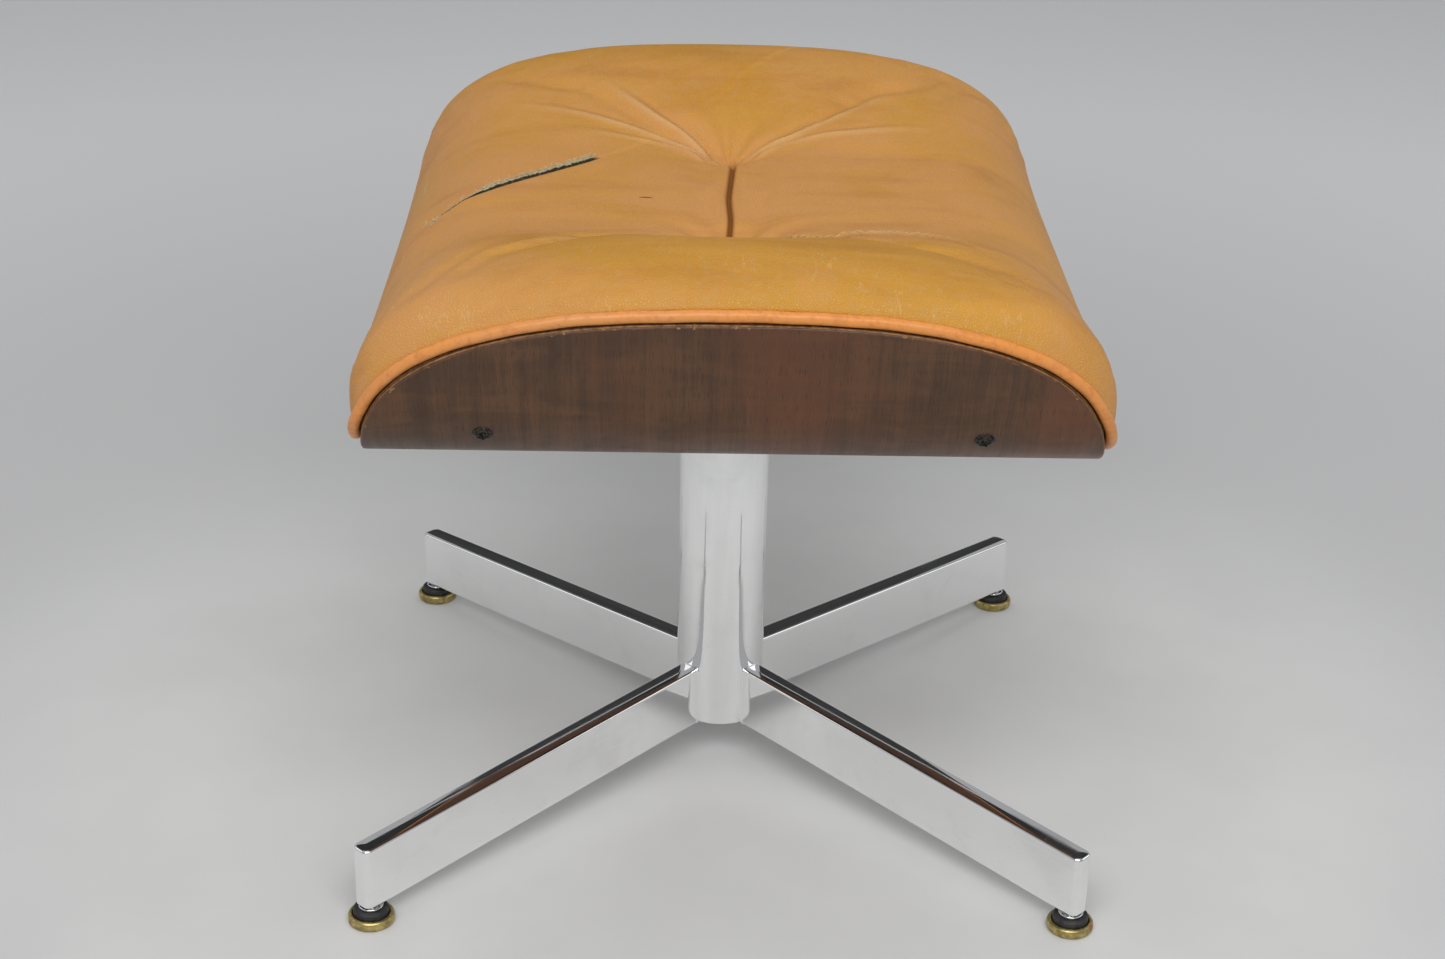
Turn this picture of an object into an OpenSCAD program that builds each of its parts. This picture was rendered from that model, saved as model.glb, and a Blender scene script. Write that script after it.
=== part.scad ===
// Swivel ottoman: a bent-plywood shell with an upholstered pad, on a column with four legs and glides.
// Origin on the floor under the column's axis, +Z up, +Y along the seat's long axis.

/* [Shell] */
// Width of the bent-plywood shell
shell_w = 407; // [330:1:500]
// Length of the shell, tip to tip
shell_l = 512; // [460:1:580]
// Thickness of the plywood
ply_t = 9.5; // [7:0.5:12]
// Height of the shell's flat underside above the floor
shell_z = 301; // [260:1:360]
// Height of the shell's tips above its flat underside
wing_h = 100.5; // [92:0.5:120]
// Outer radius of the two bends
bend_r = 60; // [50:1:72]
// Lean of each wing out of the vertical, in degrees
wing_lean = 20; // [14:1:26]
// Length of the rounded end of each wing
arch_l = 112; // [90:1:125]
// Roundness of the wing's outline, from 2 for an ellipse towards a square
arch_power = 2.6; // [2:0.1:4]

/* [Pad] */
// Gap between the shell and the pad's board
board_gap = 3; // [2:0.5:5]
// Thickness of the pad's board
board_t = 7; // [5:0.5:9]
// How far the board's edge stays inside the shell's edge
board_inset = 1.5; // [1:0.5:4]
// Height of the pad's middle above the board
pad_mid_h = 71; // [58:1:78]
// Height of the pad's crowns above the shell's tips
crown_h = 26.5; // [14:0.5:36]
// How much lower each crown is at its ends than at its middle
crown_fall = 36; // [10:1:44]
// How far the pad's sides bulge
side_bulge = 5.5; // [0:0.5:9]
// Distance from one pad crown's ridge line to the other
crown_span = 464; // [420:1:500]
// Thickness of the leather
leather_t = 1.3; // [1:0.1:2]
// Diameter of the piping
piping_d = 6.6; // [5:0.1:8]
// Distance from the middle to each tuft
tuft_y = 90; // [60:1:120]
// Depth of the dimple at each tuft
tuft_depth = 14; // [4:0.5:18]

/* [Column] */
// Outside diameter of the column
column_d = 57.2; // [46:0.1:66]
// Wall of the column
column_wall = 2.1; // [1.6:0.1:4]
// Height of the column's lower end above the floor
column_low = 31.5; // [28:0.5:40]
// Diameter of the swivel spindle
spindle_d = 25; // [18:0.5:30]
// Length of each bush
bush_l = 32; // [20:1:45]
// Distance from the underside of the seat plate to the spindle's lower end
spindle_l = 190; // [150:1:215]
// Side of the square seat plate
plate_w = 160; // [130:1:200]
// Thickness of the seat plate
plate_t = 4; // [3:0.5:6]
// Height of the hub under the seat plate
hub_h = 9; // [6:0.5:12]
// Distance between the plate's bolts
bolt_pitch = 124; // [100:1:150]
// Diameter of the plate's bolts
bolt_d = 6; // [5:0.5:8]

/* [Legs] */
// Distance between neighbouring glides
glide_pitch = 420; // [340:1:500]
// Width of the leg tube
leg_w = 14; // [13:0.5:22]
// Height of the leg tube
leg_h = 41; // [34:0.5:50]
// Wall of the leg tube
leg_wall = 1.6; // [1.2:0.1:2]
// Drop of the leg from the column to its tip
leg_drop = 19.6; // [0:0.1:26]
// Length of the leg past the glide's axis
leg_past = 7.5; // [7:0.5:20]
// Rounding of the leg's end
leg_end_r = 4.5; // [2:0.5:6]

/* [Glides] */
// Height of the leg's underside above the floor at its tip
foot_h = 12.4; // [12:0.1:16]
// Diameter of the metal cup
cup_d = 28; // [24:0.5:34]
// Height of the metal cup
cup_h = 6.4; // [5:0.1:8]
// Diameter of the rubber ring
rubber_d = 21.6; // [18:0.1:23]
// Diameter of the threaded stem
stem_d = 6.4; // [5:0.1:7]
// Length of the stem above the leg's underside
stem_l = 20; // [12:0.5:24]
// Diameter of the nut in the leg
nut_d = 10.4; // [9:0.1:12]

/* [Screws] */
// Angle of the board screws below the horizontal
screw_angle = 34; // [30:1:50]
// Distance between the board screws on one wing
screw_pitch = 271; // [200:1:300]
// Diameter of a board screw's head
screw_head_d = 11.4; // [9:0.1:13]
// Diameter of a board screw
screw_d = 4.8; // [4:0.1:6]

/* [Hidden] */
$fn = 64;

// Clearances
body_gap = 0.3;                 // between pieces that move against each other
run_gap = 0.05;                 // radial, spindle in bush and stem in nut
fit_gap = 0.05;                 // radial, bolt or screw in its nut
hole_gap = 0.3;                 // radial, bolt or screw through a plate or board
eps = 1;                        // overshoot of a cut
bend_steps = 20;                // facets in each bend
over = 5;                       // how far the uncut sheet reaches past the blank's outline

// Shell: the outer face is a flat, a bend and a straight wing on each side
bend_a = 90 - wing_lean;
bend_len = bend_r * bend_a * PI / 180;
wing_l = (wing_h - bend_r * (1 - cos(bend_a))) / sin(bend_a);
flat_l = shell_l / 2 - bend_r * sin(bend_a) - wing_l * cos(bend_a);
half_l = flat_l + bend_len + wing_l;
half_w = shell_w / 2;
tip_z = shell_z + wing_h;

// Pad
board_low = ply_t + board_gap;
board_top = board_low + board_t;
pad_low = board_top;
skirt_low = board_low + 1;
skirt_out = 0.4;                // leather's inner face outside the board's edge
piping_tip_n = 4.5;             // height of the piping's middle above the shell's outer face at the tips
piping_side_n = 8.5;            // and along the sides
piping_out = piping_d / 2 + 0.7;
crown_z = tip_z + crown_h;
mid_z = shell_z + pad_low + pad_mid_h;
cap_steps = 24;
side_steps = 12;
loops = [0.998, 0.992, 0.98, 0.965, 0.945, 0.92, 0.885, 0.84, 0.78, 0.7, 0.6, 0.5, 0.4, 0.3, 0.2, 0.1];
puff_power = 11;                // how late the pad's top turns down towards its edge
puff_round = 2.3;
tuft_spread = 15;
fall_power = 3.6;               // how late a crown starts to fall towards its ends

// Column and swivel
column_top = shell_z - plate_t - hub_h - 5;
flange_t = 2.6;
washer_t = shell_z - plate_t - hub_h - column_top - flange_t - body_gap;
spindle_low = shell_z - plate_t - spindle_l;
clip_t = 1.6;
clip_low = spindle_low + 6;
groove_depth = 1.2;
retainer_t = 2;
lower_bush_z = clip_low + clip_t + retainer_t + body_gap;
bolt_head_d = 2 * bolt_d;
bolt_head_h = 0.6 * bolt_d;
tee_barrel_d = bolt_d + 2.4;
tee_flange_d = 19;
tee_flange_t = 1.4;

// Legs and glides
reach = glide_pitch / sqrt(2);
leg_tip = reach + leg_past;
leg_angle = atan(leg_drop / leg_tip);
leg_edge_r = 1.8;
nut_low = foot_h - 0.2;
collar_t = 1.5;
collar_d = 15;
collar_top = nut_low - body_gap;
rubber_low = 2.6;
rubber_top = collar_top - collar_t - body_gap;
head_d = 12;
head_t = 2.4;
head_low = rubber_low + 1.2;
cup_floor = 1.6;
cup_gap = 0.5;
FEET = [["front_left", -1, -1], ["front_right", 1, -1], ["rear_left", -1, 1], ["rear_right", 1, 1]];

CHROME = [0.80, 0.81, 0.83];
BRASS = [0.72, 0.66, 0.42];
RUBBER = [0.08, 0.08, 0.08];
STEEL = [0.55, 0.56, 0.58];
NYLON = [0.88, 0.87, 0.83];
WALNUT = [0.30, 0.18, 0.12];
BOARD = [0.72, 0.58, 0.40];
LEATHER = [0.76, 0.55, 0.27];
PIPING = [0.78, 0.47, 0.24];
FOAM = [0.90, 0.86, 0.72];
BLACK = [0.06, 0.06, 0.07];

function power(v, p) = sign(v) * pow(abs(v), p);
function smooth(v) = let(c = max(0, min(1, v))) c * c * (3 - 2 * c);

// A point at arc length s along the outer face, x across it and n inwards from it
function wrap(x, s, n) =
    let(u = abs(s), side = s < 0 ? -1 : 1, r = bend_r - n)
    u <= flat_l ? [x, s, shell_z + n] :
    u <= flat_l + bend_len ?
        let(a = (u - flat_l) / bend_r * 180 / PI)
        [x, side * (flat_l + r * sin(a)), shell_z + bend_r - r * cos(a)] :
    let(v = u - flat_l - bend_len)
    [x, side * (flat_l + r * sin(bend_a) + v * cos(bend_a)), shell_z + bend_r - r * cos(bend_a) + v * sin(bend_a)];

// The flat blank's outline, grown outwards by g, as [x, s] points anticlockwise
function cap(side, g, i) =
    let(a = 180 * i / cap_steps, p = 2 / arch_power)
    [side * (half_w + g) * power(cos(a), p), side * (half_l - arch_l + (arch_l + g) * power(sin(a), p))];
function long_side(side, g, i) =
    [-side * (half_w + g), side * (half_l - arch_l) * (1 - 2 * i / side_steps)];
function outline(g) = concat(
    [for (i = [0:cap_steps - 1]) cap(1, g, i)],
    [for (i = [0:side_steps - 1]) long_side(1, g, i)],
    [for (i = [0:cap_steps - 1]) cap(-1, g, i)],
    [for (i = [0:side_steps - 1]) long_side(-1, g, i)]);

// The pad's top line over the middle of the board, and its height at a share of the way from the rim
function top_y(s) = s - sign(s) * (half_l - crown_span / 2) * pow(abs(s) / half_l, 2.5);
function top_z(x, y) =
    let(crown = crown_z - crown_fall * pow(abs(x) / half_w, fall_power))
    mid_z + (crown - mid_z) * smooth((abs(y) - 60) / (crown_span / 2 - 70));
function puff(q) = pow(1 - pow(q, puff_power), 1 / puff_round);
function dimple(x, y) =
    tuft_depth * exp(-(x * x + pow(abs(y) - tuft_y, 2)) / (2 * tuft_spread * tuft_spread));
function pad_point(p, q, sink) =
    let(x = q * p[0], s = q * p[1], low = wrap(x, s, pad_low), y = top_y(s), f = puff(q))
    [x * (1 + side_bulge / half_w * sin(180 * f)),
     low[1] + f * (y - low[1]),
     low[2] + f * (top_z(x, y) - sink - dimple(x, y) - low[2])];

function piping_n(s) =
    piping_tip_n + (piping_side_n - piping_tip_n) * smooth((half_l - abs(s)) / arch_l);

// Closed surface through rings of points, with a point at each end; the first rings' quads split the other way,
// so that two solids that share a face share its triangles
function ring_faces(rings, n, turned) = [for (k = [0:rings - 2], i = [0:n - 1])
    let(a = k * n + i, b = k * n + (i + 1) % n, c = (k + 1) * n + (i + 1) % n, d = (k + 1) * n + i)
    each k < turned ? [[a, b, c], [a, c, d]] : [[a, b, d], [b, c, d]]];
module ring_solid(rings, first, last, turned = 0) {
    n = len(rings[0]);
    m = len(rings);
    points = concat([for (r = rings) each r], [first, last]);
    faces = concat(
        ring_faces(m, n, turned),
        [for (i = [0:n - 1]) [m * n, (i + 1) % n, i]],
        [for (i = [0:n - 1]) [m * n + 1, (m - 1) * n + i, (m - 1) * n + (i + 1) % n]]);
    polyhedron(points, faces, convexity = 6);
}

// Sheet between two offsets from the shell's outer face, not yet cut to an outline
function bend_at(i) = flat_l + bend_len * i / bend_steps;
module bent_layer(low, high) {
    tip = half_l + over;
    stations = concat([-tip], [for (i = [bend_steps:-1:0]) -bend_at(i)], [for (i = [0:bend_steps]) bend_at(i)], [tip]);
    line = [for (n = [low, high]) [for (s = stations) let(p = wrap(0, s, n)) [p[1], p[2]]]];
    m = len(stations);
    translate([-half_w - over, 0, 0]) rotate([90, 0, 90]) linear_extrude(shell_w + 2 * over)
        polygon(concat(line[0], [for (i = [m - 1:-1:0]) line[1][i]]));
}
// What lies outside one wing's outline and the sides, seen square to the wing
module edge_cut(g) {
    w = half_w + g;
    arch = [for (i = [0:cap_steps]) let(c = cap(1, g, i)) [c[0], c[1] - half_l]];
    linear_extrude(shell_l / 2 + 80) polygon(concat(
        [[w + 2 * over, -shell_l], [w, -shell_l]], arch,
        [[-w, -shell_l], [-w - 2 * over, -shell_l], [-w - 2 * over, 2 * over], [w + 2 * over, 2 * over]]));
}
module bent_sheet(low, high, g) {
    difference() {
        bent_layer(low, high);
        for (side = [0, 1])
            mirror([0, side, 0]) translate([0, shell_l / 2, tip_z]) rotate([90 - wing_lean, 0, 0])
                translate([0, 0, -60]) edge_cut(g);
    }
}

// Local frame of each board screw: origin on the shell's outer face, +Z inwards
module at_board_screws() {
    for (side = [-1, 1], hand = [-1, 1])
        translate([hand * screw_pitch / 2,
                   side * (flat_l + bend_r * cos(screw_angle)),
                   shell_z + bend_r - bend_r * sin(screw_angle)])
            rotate([side * (90 - screw_angle), 0, 0]) children();
}
module at_plate_bolts() {
    for (x = [-1, 1], y = [-1, 1]) translate([x * bolt_pitch / 2, y * bolt_pitch / 2, 0]) children();
}
module at_foot(x, y) { translate([x * glide_pitch / 2, y * glide_pitch / 2, 0]) children(); }

// Column
module column_tube() {
    color(CHROME) rotate_extrude() difference() {
        union() {
            translate([column_d / 2 - column_wall, column_low])
                square([column_wall / 2, column_top - column_low]);
            translate([column_d / 2 - column_wall / 2 - 0.01, column_low + column_wall / 2])
                square([column_wall / 2 + 0.01, column_top - column_low - column_wall / 2]);
            translate([column_d / 2 - column_wall / 2, column_low + column_wall / 2])
                circle(r = column_wall / 2);
        }
    }
}
module column_end_disc() {
    color(CHROME) translate([0, 0, column_low + 1]) cylinder(d = column_d - 2 * column_wall, h = 3);
}
module bush(low, flange) {
    color(NYLON) difference() {
        union() {
            translate([0, 0, low]) cylinder(d = column_d - 2 * column_wall, h = bush_l);
            if (flange) translate([0, 0, low + bush_l]) cylinder(d = column_d - 1, h = flange_t);
        }
        translate([0, 0, low - eps]) cylinder(d = spindle_d + 2 * run_gap, h = bush_l + flange_t + 2 * eps);
    }
}
module upper_bush() { bush(column_top - bush_l, true); }
module lower_bush() { bush(lower_bush_z, false); }

// Legs: a box tube that slopes down from the column, closed at its tip
module leg_section(inset) {
    w = leg_w - 2 * inset;
    h = leg_h * cos(leg_angle) - 2 * inset;
    r = max(leg_edge_r - inset, 0.4);
    translate([-h / 2, -w / 2 + r]) square([h, w - 2 * r]);
    translate([-h / 2 + r, -w / 2]) square([h - 2 * r, w]);
    for (x = [-1, 1], y = [-1, 1]) translate([x * (h / 2 - r), y * (w / 2 - r)]) circle(r = r);
}
module leg_plan(inset) {
    r = max(leg_end_r - inset, 0.5);
    w = leg_w - 2 * inset;
    l = leg_tip - inset;
    translate([0, -w / 2]) square([l - r, w]);
    translate([l - r - eps, -w / 2 + r]) square([r + eps, w - 2 * r]);
    for (y = [-1, 1]) translate([l - r, y * (w / 2 - r)]) circle(r = r);
}
module leg_solid(inset) {
    intersection() {
        translate([leg_tip, 0, foot_h + leg_h / 2]) rotate([0, leg_angle - 90, 0])
            translate([0, 0, -20]) linear_extrude(leg_tip + 40) leg_section(inset);
        linear_extrude(200) leg_plan(inset);
    }
}
module leg(x, y) {
    color(CHROME) difference() {
        rotate(atan2(y, x)) difference() {
            leg_solid(0);
            leg_solid(leg_wall);
        }
        cylinder(d = column_d, h = 200);
        at_foot(x, y) cylinder(d = nut_d, h = foot_h + leg_h / 2);
    }
}
module leg_nut(x, y) {
    color(STEEL) at_foot(x, y) difference() {
        translate([0, 0, nut_low]) cylinder(d = nut_d, h = stem_l + 1);
        translate([0, 0, nut_low - eps]) cylinder(d = stem_d + 2 * run_gap, h = stem_l + 1 + 2 * eps);
    }
}

// Glides: a stem whose head sits in a rubber ring, and a metal cup round the ring
module glide_stem(x, y) {
    color(STEEL) at_foot(x, y) {
        translate([0, 0, head_low]) cylinder(d = head_d, h = head_t);
        translate([0, 0, head_low]) cylinder(d = stem_d, h = foot_h + stem_l - head_low);
    }
}
module glide_collar(x, y) {
    color(CHROME) at_foot(x, y) translate([0, 0, collar_top - collar_t]) difference() {
        cylinder(d = collar_d, h = collar_t);
        translate([0, 0, -eps]) cylinder(d = stem_d, h = collar_t + 2 * eps);
    }
}
module glide_rubber(x, y) {
    r = rubber_d / 2;
    stem_r = stem_d / 2 + body_gap;
    head_r = head_d / 2 + body_gap;
    color(RUBBER) at_foot(x, y) rotate_extrude() difference() {
        union() {
            translate([0, rubber_low]) square([r - 1.2, rubber_top - rubber_low]);
            translate([0, rubber_low]) square([r, rubber_top - rubber_low - 1.2]);
            translate([r - 1.2, rubber_top - 1.2]) circle(r = 1.2);
        }
        translate([-eps, head_low - body_gap]) square([head_r + eps, head_t + 2 * body_gap]);
        translate([-eps, head_low]) square([stem_r + eps, rubber_top]);
    }
}
module glide_cup(x, y) {
    r = cup_d / 2;
    inner = rubber_d / 2 + cup_gap;
    round_r = (r - inner) * 0.9;
    color(BRASS) at_foot(x, y) rotate_extrude() difference() {
        union() {
            square([r - round_r, cup_h]);
            square([r - 1, cup_h - round_r]);
            translate([0, 1]) square([r, cup_h - round_r - 1]);
            translate([r - round_r, cup_h - round_r]) circle(r = round_r);
            translate([r - 1, 1]) circle(r = 1);
        }
        translate([-eps, cup_floor]) square([inner + eps, cup_h]);
    }
}

// Swivel
module thrust_washer() {
    color(STEEL) translate([0, 0, column_top + flange_t + body_gap]) difference() {
        cylinder(d = spindle_d + 20, h = washer_t);
        translate([0, 0, -eps]) cylinder(d = spindle_d, h = washer_t + 2 * eps);
    }
}
module swivel_hub() {
    color(BLACK) translate([0, 0, shell_z - plate_t - hub_h]) difference() {
        cylinder(d = spindle_d + 25, h = hub_h);
        translate([0, 0, -eps]) cylinder(d = spindle_d, h = hub_h + 2 * eps);
    }
}
module swivel_spindle() {
    color(STEEL) difference() {
        translate([0, 0, spindle_low]) cylinder(d = spindle_d, h = spindle_l);
        translate([0, 0, clip_low]) difference() {
            cylinder(d = spindle_d + 2, h = clip_t);
            cylinder(d = spindle_d - 2 * groove_depth, h = clip_t);
        }
    }
}
module retaining_washer() {
    color(STEEL) translate([0, 0, clip_low + clip_t]) difference() {
        cylinder(d = spindle_d + 14, h = retainer_t);
        translate([0, 0, -eps]) cylinder(d = spindle_d + 2 * fit_gap, h = retainer_t + 2 * eps);
    }
}
module retaining_clip() {
    color(STEEL) translate([0, 0, clip_low]) difference() {
        cylinder(d = spindle_d + 6, h = clip_t);
        translate([0, 0, -eps]) cylinder(d = spindle_d - 2 * groove_depth, h = clip_t + 2 * eps);
        translate([0, -3, -eps]) cube([spindle_d, 6, clip_t + 2 * eps]);
    }
}
module seat_plate() {
    r = 14;
    color(BLACK) translate([0, 0, shell_z - plate_t]) difference() {
        union() {
            translate([-plate_w / 2 + r, -plate_w / 2, 0]) cube([plate_w - 2 * r, plate_w, plate_t]);
            translate([-plate_w / 2, -plate_w / 2 + r, 0]) cube([plate_w, plate_w - 2 * r, plate_t]);
            for (x = [-1, 1], y = [-1, 1])
                translate([x * (plate_w / 2 - r), y * (plate_w / 2 - r), 0]) cylinder(r = r, h = plate_t);
        }
        translate([0, 0, -eps]) at_plate_bolts() cylinder(d = bolt_d + 2 * hole_gap, h = plate_t + 2 * eps);
    }
}
module plate_bolts() {
    color(BLACK) at_plate_bolts() difference() {
        union() {
            translate([0, 0, shell_z - plate_t - bolt_head_h]) cylinder(d = bolt_head_d, h = bolt_head_h);
            translate([0, 0, shell_z - plate_t]) cylinder(d = bolt_d, h = plate_t + ply_t);
        }
        translate([0, 0, shell_z - plate_t - bolt_head_h - eps])
            cylinder(d = 0.65 * bolt_d, h = 0.6 * bolt_head_h + eps, $fn = 6);
    }
}
module tee_nuts() {
    color(STEEL) translate([0, 0, shell_z]) at_plate_bolts() difference() {
        union() {
            translate([0, 0, 2]) cylinder(d = tee_barrel_d, h = ply_t - 2);
            translate([0, 0, ply_t]) cylinder(d = tee_flange_d, h = tee_flange_t);
        }
        cylinder(d = bolt_d + 2 * fit_gap, h = ply_t + tee_flange_t + eps);
    }
}
module shell() {
    color(WALNUT) difference() {
        bent_sheet(0, ply_t, 0);
        translate([0, 0, shell_z - eps]) at_plate_bolts() cylinder(d = tee_barrel_d, h = ply_t + 2 * eps);
        at_board_screws() translate([0, 0, -2]) cylinder(d = screw_d + 2 * hole_gap, h = ply_t + 4);
    }
}

// Pad
module cushion_board() {
    color(BOARD) difference() {
        bent_sheet(board_low, board_top, -board_inset);
        at_board_screws() translate([0, 0, board_low - 2]) cylinder(d = screw_d + 4, h = board_t + 4);
        for (side = [-1, 1]) translate([0, side * tuft_y, shell_z + board_low - eps])
            cylinder(d = 6, h = board_t + 2 * eps);
    }
}
module board_spacers() {
    color(RUBBER) intersection() {
        bent_layer(ply_t, board_low);
        at_board_screws() translate([0, 0, ply_t - 2]) difference() {
            cylinder(d = 16, h = board_gap + 4);
            translate([0, 0, -eps]) cylinder(d = screw_d + 2 * hole_gap, h = board_gap + 6);
        }
    }
}
module board_inserts() {
    color(STEEL) intersection() {
        bent_layer(board_low, board_top);
        at_board_screws() translate([0, 0, board_low - 2]) difference() {
            cylinder(d = screw_d + 4, h = board_t + 4);
            translate([0, 0, -eps]) cylinder(d = screw_d + 2 * fit_gap, h = board_t + 6);
        }
    }
}
module board_screws() {
    dome_r = screw_head_d * 0.62;
    dome_h = dome_r - sqrt(dome_r * dome_r - pow(screw_head_d / 2, 2));
    color(BLACK) at_board_screws() difference() {
        union() {
            cylinder(d = screw_d, h = board_top);
            translate([0, 0, -dome_h]) intersection() {
                cylinder(d = screw_head_d, h = dome_h);
                translate([0, 0, dome_r]) sphere(r = dome_r);
            }
        }
        translate([0, 0, -dome_h - eps]) for (a = [0, 90])
            rotate(a) translate([-screw_head_d * 0.27, -0.6, 0]) cube([screw_head_d * 0.54, 1.2, 2.4]);
    }
}
module tuft_anchors() {
    color(STEEL) for (side = [-1, 1]) translate([0, side * tuft_y, shell_z + board_low - 1.2])
        cylinder(d = 22, h = 1.2);
}
module tuft_twines() {
    top = pad_point([0, tuft_y / 0.5], 0.5, 2 * leather_t);
    color(FOAM) for (side = [-1, 1]) translate([0, side * tuft_y, shell_z + board_low])
        cylinder(d = 3, h = top[2] - shell_z - board_low);
}
module cushion_foam() {
    edge = outline(-board_inset);
    top = [for (q = loops) [for (p = edge) pad_point(p, q, leather_t)]];
    low = [for (k = [len(loops) - 1:-1:0])
        [for (p = edge) wrap(loops[k] * p[0], loops[k] * p[1], pad_low)]];
    color(FOAM) ring_solid(concat(low, top), wrap(0, 0, pad_low), pad_point([0, 0], 0, leather_t));
}
module cushion_cover() {
    inner_edge = outline(skirt_out - board_inset);
    outer_edge = outline(skirt_out - board_inset + leather_t);
    edge = outline(-board_inset);
    inner = [for (k = [len(loops) - 1:-1:0]) [for (p = edge) pad_point(p, loops[k], leather_t)]];
    outer = [for (k = [1:len(loops) - 1]) [for (p = outer_edge) pad_point(p, loops[k], 0)]];
    skirt_in = [for (n = [pad_low, skirt_low]) [for (p = inner_edge) wrap(p[0], p[1], n)]];
    skirt_ex = [for (n = [skirt_low, pad_low]) [for (p = outer_edge) wrap(p[0], p[1], n)]];
    color(LEATHER) ring_solid(concat(inner, skirt_in, skirt_ex, outer),
        pad_point([0, 0], 0, leather_t), pad_point([0, 0], 0, 0), len(loops) - 1);
}
module cushion_piping() {
    path = [for (p = outline(piping_out)) wrap(p[0], p[1], piping_n(p[1]))];
    core = [for (p = outline(0)) wrap(p[0], p[1], piping_n(p[1]))];
    n = len(path);
    sides = 8;
    r = piping_d / 2;
    rings = [for (i = [0:n - 1])
        let(t = path[(i + 1) % n] - path[(i + n - 1) % n], tu = t / norm(t),
            o = path[i] - core[i], ou = (o - (o * tu) * tu) / norm(o - (o * tu) * tu), up = cross(tu, ou))
        [for (j = [0:sides - 1]) let(a = 360 * j / sides) path[i] + r * cos(a) * ou + r * sin(a) * up]];
    faces = [for (k = [0:n - 1], j = [0:sides - 1])
        let(a = k * sides + j, b = k * sides + (j + 1) % sides,
            c = ((k + 1) % n) * sides + j, d = ((k + 1) % n) * sides + (j + 1) % sides)
        each [[a, c, b], [b, c, d]]];
    color(PIPING) polyhedron([for (ring = rings) each ring], faces, convexity = 10);
}

column_tube();
column_end_disc();
upper_bush();
lower_bush();
for (f = FEET) {
    leg(f[1], f[2]);
    leg_nut(f[1], f[2]);
    glide_stem(f[1], f[2]);
    glide_collar(f[1], f[2]);
    glide_rubber(f[1], f[2]);
    glide_cup(f[1], f[2]);
}
thrust_washer();
swivel_hub();
swivel_spindle();
retaining_washer();
retaining_clip();
seat_plate();
plate_bolts();
tee_nuts();
shell();
cushion_board();
board_spacers();
board_inserts();
board_screws();
tuft_anchors();
tuft_twines();
cushion_foam();
cushion_cover();
cushion_piping();
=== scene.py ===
import math

import bmesh
import bpy
import numpy as np
from mathutils import Matrix, Vector
from mathutils.kdtree import KDTree


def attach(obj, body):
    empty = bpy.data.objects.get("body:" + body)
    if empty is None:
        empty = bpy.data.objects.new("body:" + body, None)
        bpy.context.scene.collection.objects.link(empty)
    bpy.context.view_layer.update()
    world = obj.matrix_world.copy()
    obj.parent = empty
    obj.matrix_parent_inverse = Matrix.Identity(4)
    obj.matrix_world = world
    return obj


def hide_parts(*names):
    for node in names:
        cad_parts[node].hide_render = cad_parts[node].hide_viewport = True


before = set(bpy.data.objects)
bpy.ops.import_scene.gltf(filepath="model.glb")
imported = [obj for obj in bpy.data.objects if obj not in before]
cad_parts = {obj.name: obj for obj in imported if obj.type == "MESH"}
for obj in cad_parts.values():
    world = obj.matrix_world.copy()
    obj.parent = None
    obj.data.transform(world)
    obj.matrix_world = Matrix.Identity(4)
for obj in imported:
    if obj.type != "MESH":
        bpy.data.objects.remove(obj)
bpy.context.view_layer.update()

# Sizes in millimetres, as in the part's source
MM = 0.001
HALF_W = 407 / 2
SHELL_L = 512
PLY = 9.5
SHELL_Z = 301
WING_H = 100.5
BEND_R = 60
BEND_A = math.radians(70)
ARCH_L = 112
ARCH_POWER = 2.6
BOARD_LOW = PLY + 3
PAD_LOW = BOARD_LOW + 7
BOARD_INSET = 1.5
MID_Z = SHELL_Z + PAD_LOW + 71
TIP_Z = SHELL_Z + WING_H
CROWN_Z = TIP_Z + 26.5
CROWN_FALL = 36
CROWN_SPAN = 464
SIDE_BULGE = 5.5
PIPING_R = 3.3
PIPING_OUT = 4.0
TUFT_Y = 90
TUFT_DEPTH = 14
TUFT_SPREAD = 15
BEND_LEN = BEND_R * BEND_A
WING_L = (WING_H - BEND_R * (1 - math.cos(BEND_A))) / math.sin(BEND_A)
FLAT_L = SHELL_L / 2 - BEND_R * math.sin(BEND_A) - WING_L * math.cos(BEND_A)
HALF_L = FLAT_L + BEND_LEN + WING_L
SIDE_L = HALF_L - ARCH_L

COLUMN_R = 57.2 / 2
COLUMN_WALL = 2.1
COLUMN_LOW = 31.5
COLUMN_TOP = 283
GLIDE_PITCH = 420
LEG_W = 14
LEG_H = 41
FOOT_H = 12.4
STEM_TOP = FOOT_H + 20
LEG_TIP = GLIDE_PITCH / math.sqrt(2) + 7.5
LEG_SLOPE = 19.6 / LEG_TIP
NORMAL_WEIGHT = 60
SCREW_ANGLE = math.radians(34)
SCREW_PITCH = 271
FEET = {"front_left": (-1, -1), "front_right": (1, -1), "rear_left": (-1, 1), "rear_right": (1, 1)}


def new_object(name, data, **settings):
    thing = bpy.data.objects.new(name, data)
    bpy.context.scene.collection.objects.link(thing)
    return set_all(thing, **settings)


def new_mesh(name, points, faces, material=None):
    mesh = bpy.data.meshes.new(name)
    mesh.from_pydata(points, [], faces)
    if material:
        mesh.materials.append(material)
    return mesh


def set_all(thing, **settings):
    for key, value in settings.items():
        setattr(thing, key, value)
    return thing


def spun(x, y, angle):
    """A point turned anticlockwise about the origin."""
    c, s = math.cos(angle), math.sin(angle)
    return x * c - y * s, x * s + y * c


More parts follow.
